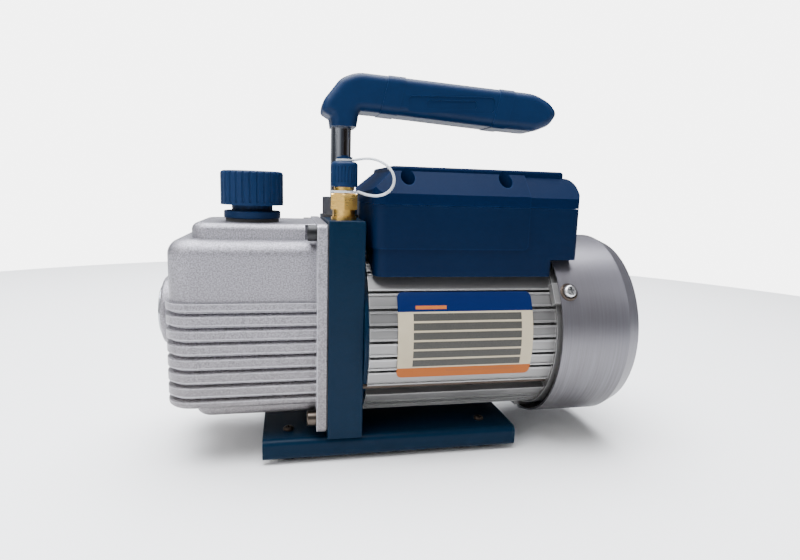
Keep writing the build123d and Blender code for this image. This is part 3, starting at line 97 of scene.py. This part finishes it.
# %% The strap from the neck ring to the cap ring
strap_route = [
    (-0.0282, -0.0324, 0.1496),
    (-0.0246, -0.0402, 0.1478),
    (-0.0182, -0.0463, 0.1476),
    (-0.0129, -0.0480, 0.1508),
    (-0.0112, -0.0484, 0.1564),
    (-0.0134, -0.0476, 0.1618),
    (-0.0189, -0.0439, 0.1659),
    (-0.0250, -0.0372, 0.1671),
    (-0.0307, -0.0308, 0.1660),
]
strap_curve = bpy.data.curves.new("strap_line", "CURVE")
strap_curve.dimensions = "3D"
strap_curve.resolution_u = 16
strap_spline = strap_curve.splines.new("NURBS")
strap_spline.points.add(len(strap_route) - 1)
for strap_point, place in zip(strap_spline.points, strap_route):
    strap_point.co = (*place, 1.0)
strap_spline.order_u = 3
strap_spline.use_endpoint_u = True
strap_holder = bpy.data.objects.new("strap_line", strap_curve)
strap_line = bpy.data.meshes.new_from_object(strap_holder)
strap_radius = 0.0007
strap_curve.bevel_depth = strap_radius
strap_curve.bevel_resolution = 4
strap_curve.use_fill_caps = True
strap_mesh = bpy.data.meshes.new_from_object(strap_holder)
strap_mesh.name = "cap_strap"
strap_cleaner = bmesh.new()
strap_cleaner.from_mesh(strap_mesh)
bmesh.ops.remove_doubles(strap_cleaner, verts=strap_cleaner.verts, dist=1e-6)
bmesh.ops.recalc_face_normals(strap_cleaner, faces=strap_cleaner.faces)
for face in strap_cleaner.faces:
    face.smooth = len(face.verts) == 4
strap_cleaner.to_mesh(strap_mesh)
strap_cleaner.free()
cap_strap = bpy.data.objects.new("cap_strap", strap_mesh)
bpy.context.scene.collection.objects.link(cap_strap)
bpy.data.objects.remove(strap_holder)
neck_end, cap_end = Vector(strap_route[0]), Vector(strap_route[-1])
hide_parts("tether_strap")
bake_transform(cap_strap)

# %% [markdown]
# ## The studio
#
# A product like this is lit by large soft lamps, so that painted metal shows long gentle
# highlights and no hard shadow. Area lamps do this: the wider the lamp, the softer the shadow.
# The floor is one flat disc. The world is a dim room with a bright wall on the left and a dark
# one on the right, so that chrome and brass have something to mirror; where the camera sees the
# world directly it is a bright white sweep.

# %% Floor, world and lamps
floor_mesh = bmesh.new()
bmesh.ops.create_circle(floor_mesh, cap_ends=True, segments=96, radius=0.85)
floor_data = bpy.data.meshes.new("studio_floor")
floor_mesh.to_mesh(floor_data)
floor_mesh.free()
studio_floor = bpy.data.objects.new("studio_floor", floor_data)
bpy.context.scene.collection.objects.link(studio_floor)

world = bpy.data.worlds.new("studio_air")
world.use_nodes = True
air_nodes, air_links = world.node_tree.nodes, world.node_tree.links
room_air = air_nodes["Background"]
room_air.inputs["Strength"].default_value = 1.0
direction = air_nodes.new("ShaderNodeTexCoord")
direction_parts = air_nodes.new("ShaderNodeSeparateXYZ")
walls = air_nodes.new("ShaderNodeValToRGB")
wall_stops = (
    (0.00, (0.10, 0.11, 0.13)),
    (0.22, (0.95, 0.97, 1.00)),
    (0.40, (0.42, 0.44, 0.47)),
    (0.52, (0.12, 0.13, 0.15)),
    (0.70, (0.10, 0.10, 0.11)),
    (0.78, (0.030, 0.020, 0.016)),
    (0.94, (0.035, 0.024, 0.020)),
    (1.00, (0.35, 0.36, 0.38)),
)
wall_ramp = walls.color_ramp.elements
for index, (position, colour) in enumerate(wall_stops):
    stop = wall_ramp[index] if index < 2 else wall_ramp.new(position)
    stop.position = position
    stop.color = (*colour, 1.0)
side_to_side = air_nodes.new("ShaderNodeMapRange")
side_to_side.inputs["From Min"].default_value = -1.0
white_sweep = air_nodes.new("ShaderNodeBackground")
white_sweep.inputs["Strength"].default_value = 7.0
seen_directly = air_nodes.new("ShaderNodeLightPath")
either = air_nodes.new("ShaderNodeMixShader")
for source, target in (
    (direction.outputs["Generated"], direction_parts.inputs[0]),
    (direction_parts.outputs[0], side_to_side.inputs["Value"]),
    (side_to_side.outputs[0], walls.inputs["Fac"]),
    (walls.outputs["Color"], room_air.inputs["Color"]),
    (seen_directly.outputs["Is Camera Ray"], either.inputs["Fac"]),
    (room_air.outputs["Background"], either.inputs[1]),
    (white_sweep.outputs["Background"], either.inputs[2]),
    (either.outputs["Shader"], air_nodes["World Output"].inputs["Surface"]),
):
    air_links.new(source, target)
bpy.context.scene.world = world


def soft_lamp(name, spot, aim, width, height, watts, tint=(1.0, 1.0, 1.0)):
    """A rectangular lamp at spot, shining towards aim."""
    data = bpy.data.lights.new(name, "AREA")
    data.shape = "RECTANGLE"
    data.size, data.size_y = width, height
    data.energy = watts
    data.color = tint
    lamp = bpy.data.objects.new(name, data)
    away = Vector(spot) - Vector(aim)
    lamp.matrix_world = Matrix.Translation(spot) @ away.to_track_quat("Z", "Y").to_matrix().to_4x4()
    bpy.context.scene.collection.objects.link(lamp)
    return lamp


soft_lamp("lamp_over", (-0.1, 0.1, 1.2), (0.0, 0.0, 0.1), 1.5, 1.2, 84.0, (0.94, 0.96, 1.0))
soft_lamp("lamp_left", (-1.2, -0.7, 0.8), (0.0, 0.0, 0.1), 0.6, 0.9, 9.0, (1.0, 0.98, 0.95))
soft_lamp("lamp_right", (1.3, -0.9, 0.9), (0.0, 0.0, 0.1), 0.4, 0.9, 3.5, (0.96, 0.98, 1.0))

# %% [markdown]
# ## Writing shaders as sums
#
# A finish is a small program: noise, masks and mixes that end in the shader's sockets. Wiring
# nodes one by one hides that. We wrap a socket in a class whose +, -, * and / add Math nodes,
# so that `0.4 + 0.1 * grain` reads as it would on paper. One more method makes any other node.

# %% The two shader helpers
shaft_height = 0.0686  # the shaft lies along X at this height, over Y = 0


class Wire:
    """A number on its way between two nodes; arithmetic on it adds Math nodes."""

    def __init__(self, finish, socket):
        self.finish = finish
        self.socket = socket

    def __add__(self, other):
        return self.finish.maths("ADD", self, other)

    def __radd__(self, other):
        return self.finish.maths("ADD", other, self)

    def __sub__(self, other):
        return self.finish.maths("SUBTRACT", self, other)

    def __rsub__(self, other):
        return self.finish.maths("SUBTRACT", other, self)

    def __mul__(self, other):
        return self.finish.maths("MULTIPLY", self, other)

    def __rmul__(self, other):
        return self.finish.maths("MULTIPLY", other, self)

    def above(self, edge):
        """1 where the number is over edge, 0 elsewhere."""
        return self.finish.maths("GREATER_THAN", self, edge)

    def between(self, low, high):
        """1 where the number lies between low and high, 0 elsewhere."""
        return self.above(low) * (1 - self.above(high))

    def ramp(self, low, high):
        """0 below low and 1 above high, straight between."""
        sockets = {"Value": self, "From Min": low, "From Max": high}
        return self.finish.node("ShaderNodeMapRange", {"clamp": True}, sockets)


class Finish:
    """One material: its main shader, with constants on the shader's own sockets."""

    def __init__(self, name, **constants):
        self.material = bpy.data.materials.new(name)
        self.material.use_nodes = True
        self.tree = self.material.node_tree
        self.shader = self.tree.nodes["Principled BSDF"]
        for socket, value in constants.items():
            self.put(self.shader, socket.replace("_", " "), value)

    def put(self, node, key, value):
        """Gives one input socket a number, a colour, a vector or a wire."""
        socket = node.inputs[key]
        if isinstance(value, Wire):
            self.tree.links.new(value.socket, socket)
        elif isinstance(value, (tuple, list)) and socket.type == "RGBA":
            socket.default_value = (*value[:3], 1.0)
        else:
            socket.default_value = value

    def node(self, kind, settings=None, sockets=None, out=0):
        """Makes any node: its settings first, then its sockets, and returns one output."""
        node = self.tree.nodes.new(kind)
        for key, value in (settings or {}).items():
            if key == "stops":
                for i, (position, colour) in enumerate(value):
                    stop = node.color_ramp.elements[i] if i < 2 else node.color_ramp.elements.new(position)
                    stop.position = position
                    stop.color = (*colour, 1.0)
            else:
                setattr(node, key, value)
        for key, value in (sockets or {}).items():
            self.put(node, key, value)
        return Wire(self, node.outputs[out])

    def maths(self, operation, first, second=None):
        """One Math node on one or two numbers."""
        sockets = {0: first} if second is None else {0: first, 1: second}
        return self.node("ShaderNodeMath", {"operation": operation}, sockets)

    def place(self):
        """The point on the piece, in metres."""
        return self.node("ShaderNodeTexCoord", out="Object")

    def axes(self):
        """The point's x, y and z as three wires."""
        split = self.tree.nodes.new("ShaderNodeSeparateXYZ")
        self.put(split, 0, self.place())
        return [Wire(self, split.outputs[i]) for i in range(3)]

    def noise(self, scale, detail=3.0, roughness=0.5, stretch=(1.0, 1.0, 1.0), place=None):
        """Soft noise with features 1/scale metres wide, squeezed along an axis by stretch."""
        where = self.node("ShaderNodeMapping", {}, {"Vector": place or self.place(), "Scale": stretch})
        sockets = {"Vector": where, "Scale": scale, "Detail": detail, "Roughness": roughness}
        return self.node("ShaderNodeTexNoise", {}, sockets)

    def round_shaft(self):
        """A point as (along the shaft less its distance from it, a little of its angle, 0)."""
        x, y, z = self.axes()
        rise = z - shaft_height
        turn = self.maths("ARCTAN2", rise, -1.0 * y)
        reach = self.maths("SQRT", y * y + rise * rise)
        return self.node("ShaderNodeCombineXYZ", {}, {0: x - reach, 1: turn * 0.0012})

    def mix(self, factor, first, second):
        """A colour between first and second."""
        sockets = {"Factor": factor, 6: first, 7: second}
        return self.node("ShaderNodeMix", {"data_type": "RGBA"}, sockets, out=2)

    def bump(self, height, depth, strength=1.0):
        """Feeds the shader's Normal with a height, depth metres from valley to peak."""
        sockets = {"Height": height, "Distance": depth, "Strength": strength}
        self.put(self.shader, "Normal", self.node("ShaderNodeBump", {}, sockets))

    def edges(self, radius, low=0.02, high=0.35):
        """1 near sharp edges: how far a rounded normal differs from the flat one."""
        rounded = self.node("ShaderNodeBevel", {"samples": 4}, {"Radius": radius})
        flat = self.node("ShaderNodeNewGeometry", out="Normal")
        dot = {"operation": "DOT_PRODUCT"}
        same = self.node("ShaderNodeVectorMath", dot, {0: rounded, 1: flat}, out="Value")
        return (1 - same).ramp(low, high)


print("helpers ready")

# %% [markdown]
# ## Finishes
#
# Each real finish tells how the piece was made. Paint on a sawn block pools a little and wears
# through at the corners; a die casting keeps the grain of its mould; an extrusion has long
# drawing lines; a plated rod is smooth enough to mirror the room. So every finish below is
# built from three things: a colour that wanders slightly, a roughness that follows the same
# marks, and a very shallow bump at the size of the real marks.

# %% Painted block and base
def blue_paint():
    finish = Finish("blue_paint", Metallic=0.0, Specular_IOR_Level=0.07)
    pooled = finish.noise(28.0, 4.0)
    orange_peel = finish.noise(900.0, 2.0)
    dust = finish.noise(4200.0, 2.0, 0.7).ramp(0.62, 0.80)
    worn = finish.edges(0.0006, 0.05, 0.45) * finish.noise(160.0, 4.0, 0.6).ramp(0.50, 0.66)
    colour = finish.mix(pooled, (0.0008, 0.0082, 0.0215), (0.0012, 0.0125, 0.0310))
    colour = finish.mix(worn * 0.55, colour, (0.06, 0.11, 0.18))
    finish.put(finish.shader, "Base Color", finish.mix(dust * 0.05, colour, (0.20, 0.25, 0.31)))
    finish.put(finish.shader, "Roughness", 0.30 + 0.10 * pooled + 0.15 * dust)
    finish.bump(orange_peel + 0.6 * pooled, 0.00006)
    return finish.material


def cast_blue():
    finish = Finish("cast_blue", Metallic=0.0, Specular_IOR_Level=0.05)
    wander = finish.noise(22.0, 3.0)
    grain = finish.noise(2600.0, 3.0, 0.6)
    # painted highlight: the box's edges are painted a lighter blue where light would catch them
    painted_edge_highlight = finish.edges(0.0010, 0.04, 0.40)
    colour = finish.mix(wander, (0.0012, 0.0066, 0.0230), (0.0018, 0.0094, 0.0320))
    finish.put(finish.shader, "Base Color", finish.mix(painted_edge_highlight * 0.30, colour, (0.010, 0.040, 0.130)))
    finish.put(finish.shader, "Roughness", 0.36 + 0.12 * grain)
    finish.bump(grain, 0.00005)
    return finish.material


def lid_blue_painted_shade():
    # painted shade: the lid is the box's blue moulding, given a darker, deeper colour to stand in for shade
    # under the light from above
    finish = Finish("lid_blue_painted_shade", Metallic=0.0, Specular_IOR_Level=0.03)
    wander = finish.noise(22.0, 3.0)
    grain = finish.noise(2600.0, 3.0, 0.6)
    # painted highlight: the lid's edges are painted a lighter blue
    painted_edge_highlight = finish.edges(0.0010, 0.04, 0.40)
    colour = finish.mix(wander, (0.0008, 0.0060, 0.0240), (0.0012, 0.0085, 0.0330))
    finish.put(finish.shader, "Base Color", finish.mix(painted_edge_highlight * 0.35, colour, (0.012, 0.046, 0.140)))
    finish.put(finish.shader, "Roughness", 0.42 + 0.12 * grain)
    finish.bump(grain, 0.00005)
    return finish.material


def cap_blue():
    finish = Finish("cap_blue", Metallic=0.0, Specular_IOR_Level=0.12)
    wander = finish.noise(45.0, 3.0)
    grain = finish.noise(3800.0, 2.0)
    # painted highlight: the edges of the caps and grip are painted a lighter blue
    painted_edge_highlight = finish.edges(0.0005, 0.06, 0.50)
    colour = finish.mix(wander, (0.0018, 0.0118, 0.042), (0.0028, 0.0180, 0.060))
    finish.put(finish.shader, "Base Color", finish.mix(painted_edge_highlight * 0.35, colour, (0.015, 0.065, 0.190)))
    finish.put(finish.shader, "Roughness", 0.38 + 0.10 * grain)
    finish.bump(grain, 0.00003)
    return finish.material


print("blue finishes ready")

# %% [markdown]
# ## Bare and silvered metal
#
# The oil case is a die casting with a sandy skin; its ledges carry a painted highlight, and its
# colour carries painted shade, darker low down. The motor body is an extrusion, so its marks all
# run one way: we squeeze the noise along X until it becomes lines; the lips of its ribs carry a
# painted highlight. The fan cover is pressed sheet that was brushed while it turned, so its
# streaks run round the shaft; it too carries painted shade, darker towards the floor, and a faint
# painted highlight on its edges.

# %% Castings, extrusion and pressed cover
def cast_aluminium():
    finish = Finish("cast_aluminium", Metallic=0.85)
    cloud = finish.noise(35.0, 4.0, 0.6)
    sand = finish.noise(1300.0, 4.0, 0.75)
    fine = finish.noise(6500.0, 2.0, 0.6)
    pits = finish.noise(700.0, 2.0).ramp(0.68, 0.78)
    # painted highlight: the casting's edges and ledges are painted nearly white
    painted_edge_highlight = finish.edges(0.0014, 0.04, 0.40)
    height = finish.axes()[2]
    # painted shade: the colour runs from dark near the floor to light higher up
    colour = finish.mix(height.ramp(0.030, 0.120), (0.185, 0.172, 0.172), (0.36, 0.352, 0.395))
    colour = finish.mix(cloud * 0.35, colour, (0.24, 0.23, 0.25))
    colour = finish.mix(sand.ramp(0.42, 0.58) * 0.62, colour, (0.070, 0.064, 0.066))
    colour = finish.mix(fine.ramp(0.60, 0.72) * 0.50, colour, (0.80, 0.80, 0.84))
    colour = finish.mix(pits * 0.35, colour, (0.10, 0.10, 0.11))
    finish.put(finish.shader, "Base Color", finish.mix(painted_edge_highlight * 0.75, colour, (0.78, 0.77, 0.84)))
    finish.put(finish.shader, "Roughness", 0.30 + 0.12 * sand - 0.06 * painted_edge_highlight)
    finish.bump(0.7 * sand + 0.3 * fine, 0.00035)
    return finish.material


def extruded_aluminium():
    finish = Finish("extruded_aluminium", Metallic=0.85)
    drawn = finish.noise(2400.0, 3.0, 0.6, stretch=(0.012, 1.0, 1.0))
    cloud = finish.noise(30.0, 3.0)
    colour = finish.mix(cloud, (0.21, 0.205, 0.20), (0.29, 0.285, 0.28))
    colour = finish.mix(drawn * 0.40, colour, (0.13, 0.13, 0.13))
    # painted highlight: the lips of the housing's ribs are painted nearly white
    painted_lip_highlight = finish.edges(0.0006, 0.03, 0.30)
    finish.put(finish.shader, "Base Color", finish.mix(painted_lip_highlight * 0.8, colour, (0.86, 0.86, 0.86)))
    finish.put(finish.shader, "Roughness", 0.40 + 0.16 * drawn)
    finish.bump(drawn, 0.00003)
    return finish.material


def satin_silver():
    finish = Finish("satin_silver", Metallic=0.80, Coat_Weight=0.10, Coat_Roughness=0.25)
    brushed = finish.noise(900.0, 4.0, 0.7, place=finish.round_shaft())
    flake = finish.noise(9000.0, 2.0, 0.6)
    cloud = finish.noise(22.0, 4.0, 0.6)
    warm = finish.noise(9.0, 2.0).ramp(0.40, 0.65)
    # painted highlight: the cover's edges are painted a little lighter
    painted_edge_highlight = finish.edges(0.0008, 0.05, 0.45)
    height = finish.axes()[2]
    # painted shade: the colour runs from nearly black near the floor to light grey on top
    colour = finish.mix(height.ramp(0.030, 0.105), (0.034, 0.035, 0.041), (0.225, 0.217, 0.248))
    colour = finish.mix(cloud * 0.30, colour, (0.120, 0.120, 0.135))
    colour = finish.mix(warm * 0.35, colour, (0.120, 0.106, 0.100))
    colour = finish.mix(brushed.ramp(0.35, 0.70) * 0.35, colour, (0.22, 0.22, 0.25))
    finish.put(finish.shader, "Base Color", finish.mix(painted_edge_highlight * 0.06, colour, (0.40, 0.40, 0.44)))
    finish.put(finish.shader, "Roughness", 0.30 + 0.14 * brushed + 0.04 * flake)
    finish.bump(brushed, 0.00002)
    return finish.material


def chrome_plate():
    finish = Finish("chrome_plate", Metallic=1.0)
    smear = finish.noise(70.0, 3.0)
    lines = finish.noise(3000.0, 2.0, 0.6, stretch=(1.0, 1.0, 0.02))
    finish.put(finish.shader, "Base Color", finish.mix(smear, (0.27, 0.28, 0.31), (0.38, 0.39, 0.42)))
    finish.put(finish.shader, "Roughness", 0.07 + 0.07 * smear + 0.03 * lines)
    return finish.material


def machined_brass():
    finish = Finish("machined_brass", Metallic=1.0)
    turned = finish.noise(4200.0, 2.0, 0.6, stretch=(0.05, 0.05, 1.0))
    tarnish = finish.noise(60.0, 3.0, 0.5).ramp(0.50, 0.80)
    finish.put(finish.shader, "Base Color", finish.mix(tarnish, (1.00, 0.62, 0.16), (0.88, 0.50, 0.11)))
    finish.put(finish.shader, "Roughness", 0.24 + 0.08 * turned + 0.06 * tarnish)
    finish.bump(turned, 0.00001)
    return finish.material


def zinc_steel():
    finish = Finish("zinc_steel", Metallic=1.0)
    cloud = finish.noise(320.0, 3.0)
    turned = finish.noise(5200.0, 2.0)
    worn = finish.edges(0.0003, 0.05, 0.5)
    colour = finish.mix(cloud, (0.40, 0.40, 0.41), (0.58, 0.58, 0.58))
    finish.put(finish.shader, "Base Color", finish.mix(worn * 0.5, colour, (0.74, 0.74, 0.74)))
    finish.put(finish.shader, "Roughness", 0.26 + 0.14 * turned)
    finish.bump(turned, 0.00001)
    return finish.material


def case_bolt_steel():
    finish = Finish("case_bolt_steel")
    blackened = finish.axes()[2].above(0.08)
    cloud = finish.noise(320.0, 3.0)
    turned = finish.noise(5200.0, 2.0)
    browned = finish.mix(cloud, (0.050, 0.040, 0.032), (0.110, 0.090, 0.075))
    finish.put(finish.shader, "Base Color", finish.mix(blackened, browned, (0.006, 0.006, 0.007)))
    finish.put(finish.shader, "Metallic", 1.0 - 0.6 * blackened)
    finish.put(finish.shader, "Roughness", 0.28 + 0.14 * turned + 0.08 * blackened)
    return finish.material


def dark_steel():
    finish = Finish("dark_steel", Metallic=0.9)
    oiled = finish.noise(420.0, 3.0)
    finish.put(finish.shader, "Base Color", finish.mix(oiled, (0.030, 0.022, 0.018), (0.080, 0.062, 0.050)))
    finish.put(finish.shader, "Roughness", 0.34 + 0.16 * oiled)
    return finish.material


def ground_steel():
    finish = Finish("ground_steel", Metallic=1.0)
    turned = finish.noise(5000.0, 2.0, 0.6, stretch=(1.0, 0.04, 0.04))
    finish.put(finish.shader, "Base Color", finish.mix(turned, (0.55, 0.55, 0.56), (0.68, 0.68, 0.69)))
    finish.put(finish.shader, "Roughness", 0.16 + 0.10 * turned)
    return finish.material


def laminated_steel():
    finish = Finish("laminated_steel", Metallic=0.8)
    sheets = finish.maths("FRACT", finish.axes()[0] * 2000.0)
    finish.put(finish.shader, "Base Color", finish.mix(sheets, (0.12, 0.12, 0.13), (0.30, 0.30, 0.31)))
    finish.put(finish.shader, "Roughness", 0.35 + 0.2 * sheets)
    return finish.material


def grey_iron():
    finish = Finish("grey_iron", Metallic=0.9)
    grain = finish.noise(1400.0, 4.0, 0.7)
    finish.put(finish.shader, "Base Color", finish.mix(grain, (0.10, 0.10, 0.10), (0.22, 0.22, 0.22)))
    finish.put(finish.shader, "Roughness", 0.30 + 0.25 * grain)
    finish.bump(grain, 0.00003)
    return finish.material


def copper_wire():
    finish = Finish("copper_wire", Metallic=0.9, Coat_Weight=0.8, Coat_Roughness=0.1)
    strands = finish.noise(2200.0, 2.0, 0.6, stretch=(1.0, 0.08, 0.08))
    finish.put(finish.shader, "Base Color", finish.mix(strands, (0.38, 0.10, 0.03), (0.78, 0.33, 0.13)))
    finish.put(finish.shader, "Roughness", 0.25 + 0.2 * strands)
    finish.bump(strands, 0.0003)
    return finish.material


print("metal finishes ready")

# %% [markdown]
# ## Rubber, plastics, glass and the printed plate
#
# Rubber and moulded plastic are told apart by their shine and their grain. The printed plate
# is one curved piece of foil, so its bands are painted by measuring where a point lies: its X
# along the shaft, and its angle round the shaft. An arctangent of two coordinates gives that
# angle, and a band is 1 between two angles and 0 elsewhere.

# %% Rubber, plastics and glass
def black_rubber():
    finish = Finish("black_rubber", Metallic=0.0)
    bloom = finish.noise(60.0, 4.0, 0.6)
    grain = finish.noise(2800.0, 2.0)
    finish.put(finish.shader, "Base Color", finish.mix(bloom, (0.010, 0.010, 0.011), (0.026, 0.026, 0.027)))
    finish.put(finish.shader, "Roughness", 0.62 + 0.18 * bloom)
    finish.bump(grain, 0.00006)
    return finish.material


def black_moulding():
    finish = Finish("black_moulding", Metallic=0.0)
    grain = finish.noise(3400.0, 3.0, 0.6)
    finish.put(finish.shader, "Base Color", finish.mix(grain, (0.012, 0.012, 0.013), (0.022, 0.022, 0.023)))
    finish.put(finish.shader, "Roughness", 0.42 + 0.18 * grain)
    finish.bump(grain, 0.00004)
    return finish.material


def red_moulding():
    finish = Finish("red_moulding", Metallic=0.0, Coat_Weight=0.3, Coat_Roughness=0.1)
    grain = finish.noise(2600.0, 2.0)
    finish.put(finish.shader, "Base Color", finish.mix(grain, (0.42, 0.012, 0.010), (0.52, 0.020, 0.014)))
    finish.put(finish.shader, "Roughness", 0.25 + 0.10 * grain)
    return finish.material


def vane_resin():
    finish = Finish("vane_resin", Metallic=0.0)
    fibre = finish.noise(900.0, 3.0, 0.6, stretch=(0.1, 1.0, 1.0))
    finish.put(finish.shader, "Base Color", finish.mix(fibre, (0.05, 0.025, 0.012), (0.13, 0.07, 0.03)))
    finish.put(finish.shader, "Roughness", 0.45 + 0.2 * fibre)
    return finish.material


def drawn_can():
    finish = Finish("drawn_can", Metallic=1.0)
    drawn = finish.noise(2600.0, 2.0, 0.6, stretch=(0.02, 1.0, 1.0))
    finish.put(finish.shader, "Base Color", finish.mix(drawn, (0.60, 0.60, 0.61), (0.75, 0.75, 0.76)))
    finish.put(finish.shader, "Roughness", 0.20 + 0.15 * drawn)
    return finish.material


def window_glass():
    finish = Finish("window_glass", Metallic=0.0, Transmission_Weight=1.0, IOR=1.5)
    smear = finish.noise(90.0, 3.0)
    finish.put(finish.shader, "Base Color", finish.mix(smear, (0.90, 0.92, 0.90), (0.96, 0.97, 0.96)))
    finish.put(finish.shader, "Roughness", 0.02 + 0.05 * smear)
    return finish.material


def clear_strap():
    finish = Finish(
        "clear_strap",
        Metallic=0.0,
        Transmission_Weight=0.35,
        Subsurface_Weight=0.4,
        Subsurface_Radius=(0.004, 0.004, 0.004),
        IOR=1.45,
    )
    milky = finish.noise(240.0, 3.0)
    finish.put(finish.shader, "Base Color", finish.mix(milky, (0.62, 0.66, 0.70), (0.80, 0.83, 0.86)))
    finish.put(finish.shader, "Roughness", 0.28 + 0.15 * milky)
    finish.bump(milky, 0.00005)
    return finish.material


print("rubber, plastic and glass ready")

# %% The printed plate
def printed_plate():
    finish = Finish("printed_plate", Metallic=0.0, Specular_IOR_Level=0.12)
    x, y, z = finish.axes()
    turn = finish.maths("ARCTAN2", z - shaft_height, -1.0 * y) * math.degrees(1.0)
    along = x * 1000.0
    paper = finish.noise(40.0, 4.0, 0.6)
    ink = finish.noise(1800.0, 3.0, 0.6)
    cream = finish.mix(paper, (0.34, 0.29, 0.20), (0.46, 0.40, 0.29))
    rows = 0.0
    for row in range(6):
        top = 19.6 - 5.68 * row
        rows = rows + turn.between(top - 4.5, top)
    cells = along.between(0.8, 62.8)
    colour = finish.mix(rows * cells * (0.86 + 0.10 * ink), cream, (0.018, 0.022, 0.027))
    blue = turn.above(20.7)
    colour = finish.mix(blue, colour, (0.0016, 0.0095, 0.060))
    flash = turn.between(22.2, 24.4) * along.between(2.2, 19.5)
    colour = finish.mix(flash, colour, (0.40, 0.11, 0.025))
    orange = 1 - turn.above(-14.2)
    colour = finish.mix(orange, colour, (0.290, 0.078, 0.015))
    stripe = turn.between(-17.4, -15.6) * along.between(20.0, 60.0)
    finish.put(finish.shader, "Base Color", finish.mix(stripe * 0.35, colour, (0.20, 0.07, 0.03)))
    finish.put(finish.shader, "Roughness", 0.34 + 0.12 * paper)
    finish.bump(rows * cells + blue, 0.00002)
    return finish.material


print("plate ready")

# %% [markdown]
# ## Cup washers
#
# Each screw of the fan cover sits in a small dark cup washer. A washer is one profile, spun
# round the screw's own line. The profile is five points given as a distance from that line and
# a height over the cover, so the same few numbers serve all three screws.

# %% Cup washers round the cover screws
cover_screw_x, cover_radius = 0.0902, 0.0571
washer_profile = (
    (0.00385, -0.0003),
    (0.00520, -0.0003),
    (0.00520, 0.0001),
    (0.00440, 0.0008),
    (0.00385, 0.0008),
)
washer_builder = bmesh.new()
for screw_angle in (30.0, 150.0, 270.0):
    outwards = Vector((0.0, math.cos(math.radians(screw_angle)), math.sin(math.radians(screw_angle))))
    seat = Vector((cover_screw_x, 0.0, shaft_height)) + cover_radius * outwards
    ring = [
        washer_builder.verts.new(seat + Vector((reach, 0.0, 0.0)) + height * outwards)
        for reach, height in washer_profile
    ]
    sides = [washer_builder.edges.new(pair) for pair in zip(ring, ring[1:] + ring[:1])]
    bmesh.ops.spin(
        washer_builder,
        geom=ring + sides,
        cent=seat,
        axis=outwards,
        angle=2 * math.pi,
        steps=40,
        use_merge=True,
    )
bmesh.ops.remove_doubles(washer_builder, verts=washer_builder.verts, dist=1e-6)
bmesh.ops.recalc_face_normals(washer_builder, faces=washer_builder.faces)
washer_mesh = bpy.data.meshes.new("cover_washers")
washer_builder.to_mesh(washer_mesh)
washer_builder.free()
cover_washers = bpy.data.objects.new("cover_washers", washer_mesh)
bpy.context.scene.collection.objects.link(cover_washers)
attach(cover_washers, "pump")
print("washers:", len(washer_mesh.polygons), "faces")

# %% [markdown]
# ## Dressing the engineering pieces
#
# An engineering piece keeps its mesh, and only its material slot changes. A table from finish
# to pieces is easier to read, and to change, than a material for each piece.

# %% Give every piece its finish
floor_finish = Finish("studio_paper", Roughness=0.9)
floor_tone = floor_finish.noise(3.0, 2.0)
floor_colour = floor_finish.mix(floor_tone, (0.90, 0.90, 0.90), (0.92, 0.92, 0.92))
floor_finish.put(floor_finish.shader, "Base Color", floor_colour)
studio_floor.data.materials.append(floor_finish.material)

dressing = {
    blue_paint: ["base_plate", "pump_bracket"],
    cast_blue: ["terminal_box"],
    lid_blue_painted_shade: ["terminal_lid"],
    cap_blue: ["exhaust_port", "exhaust_cap", "intake_cap", "handle_grip"],
    cast_aluminium: ["oil_case"],
    extruded_aluminium: ["motor_housing", "rear_end_shield"],
    satin_silver: ["fan_cover"],
    chrome_plate: ["handle_rod", "sight_glass_bezel"],
    machined_brass: ["intake_fitting", "inlet_pins"],
    black_rubber: [
        "rubber_feet",
        "exhaust_port_seal",
        "exhaust_cap_seal",
        "handle_washer",
        "sight_glass_seal",
        "drain_seal",
        "shaft_seal",
        "case_gasket",
    ],
    case_bolt_steel: ["case_bolts"],
    dark_steel: ["foot_screws", "tie_rods"],
    zinc_steel: [
        "base_bolts",
        "handle_nut",
        "drain_plug",
        "lid_screws",
        "fan_cover_screws",
        "pump_bolts",
        "fan_clip",
        "intake_strainer",
    ],
    ground_steel: [
        "drive_shaft",
        "bearing_outer_rings",
        "bearing_inner_rings",
        "bearing_balls",
        "vane_springs",
        "exhaust_valve",
    ],
    laminated_steel: ["stator_core", "motor_rotor"],
    grey_iron: ["pump_cylinder", "pump_end_plate", "pump_rotor"],
    copper_wire: ["stator_windings"],
    vane_resin: ["near_vane", "far_vane"],
    black_moulding: ["rocker_bezel", "power_inlet", "cooling_fan", "terminal_block"],
    red_moulding: ["rocker_switch"],
    drawn_can: ["run_capacitor"],
    window_glass: ["sight_glass_lens"],
    printed_plate: ["nameplate"],
    clear_strap: ["tether_strap", "tether_cap_ring", "tether_neck_ring"],
}
finish_of = {make_finish: make_finish() for make_finish in dressing}
cap_strap.data.materials.append(finish_of[clear_strap])
cover_washers.data.materials.append(finish_of[dark_steel])
undressed = set(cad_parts)
for make_finish, pieces in dressing.items():
    material = finish_of[make_finish]
    for piece in pieces:
        piece_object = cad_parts[piece]
        if not piece_object.data.materials:
            piece_object.data.materials.append(material)
        for slot in range(len(piece_object.material_slots)):
            piece_object.material_slots[slot].material = material
        undressed.discard(piece)
print("pieces without a finish:", sorted(undressed))
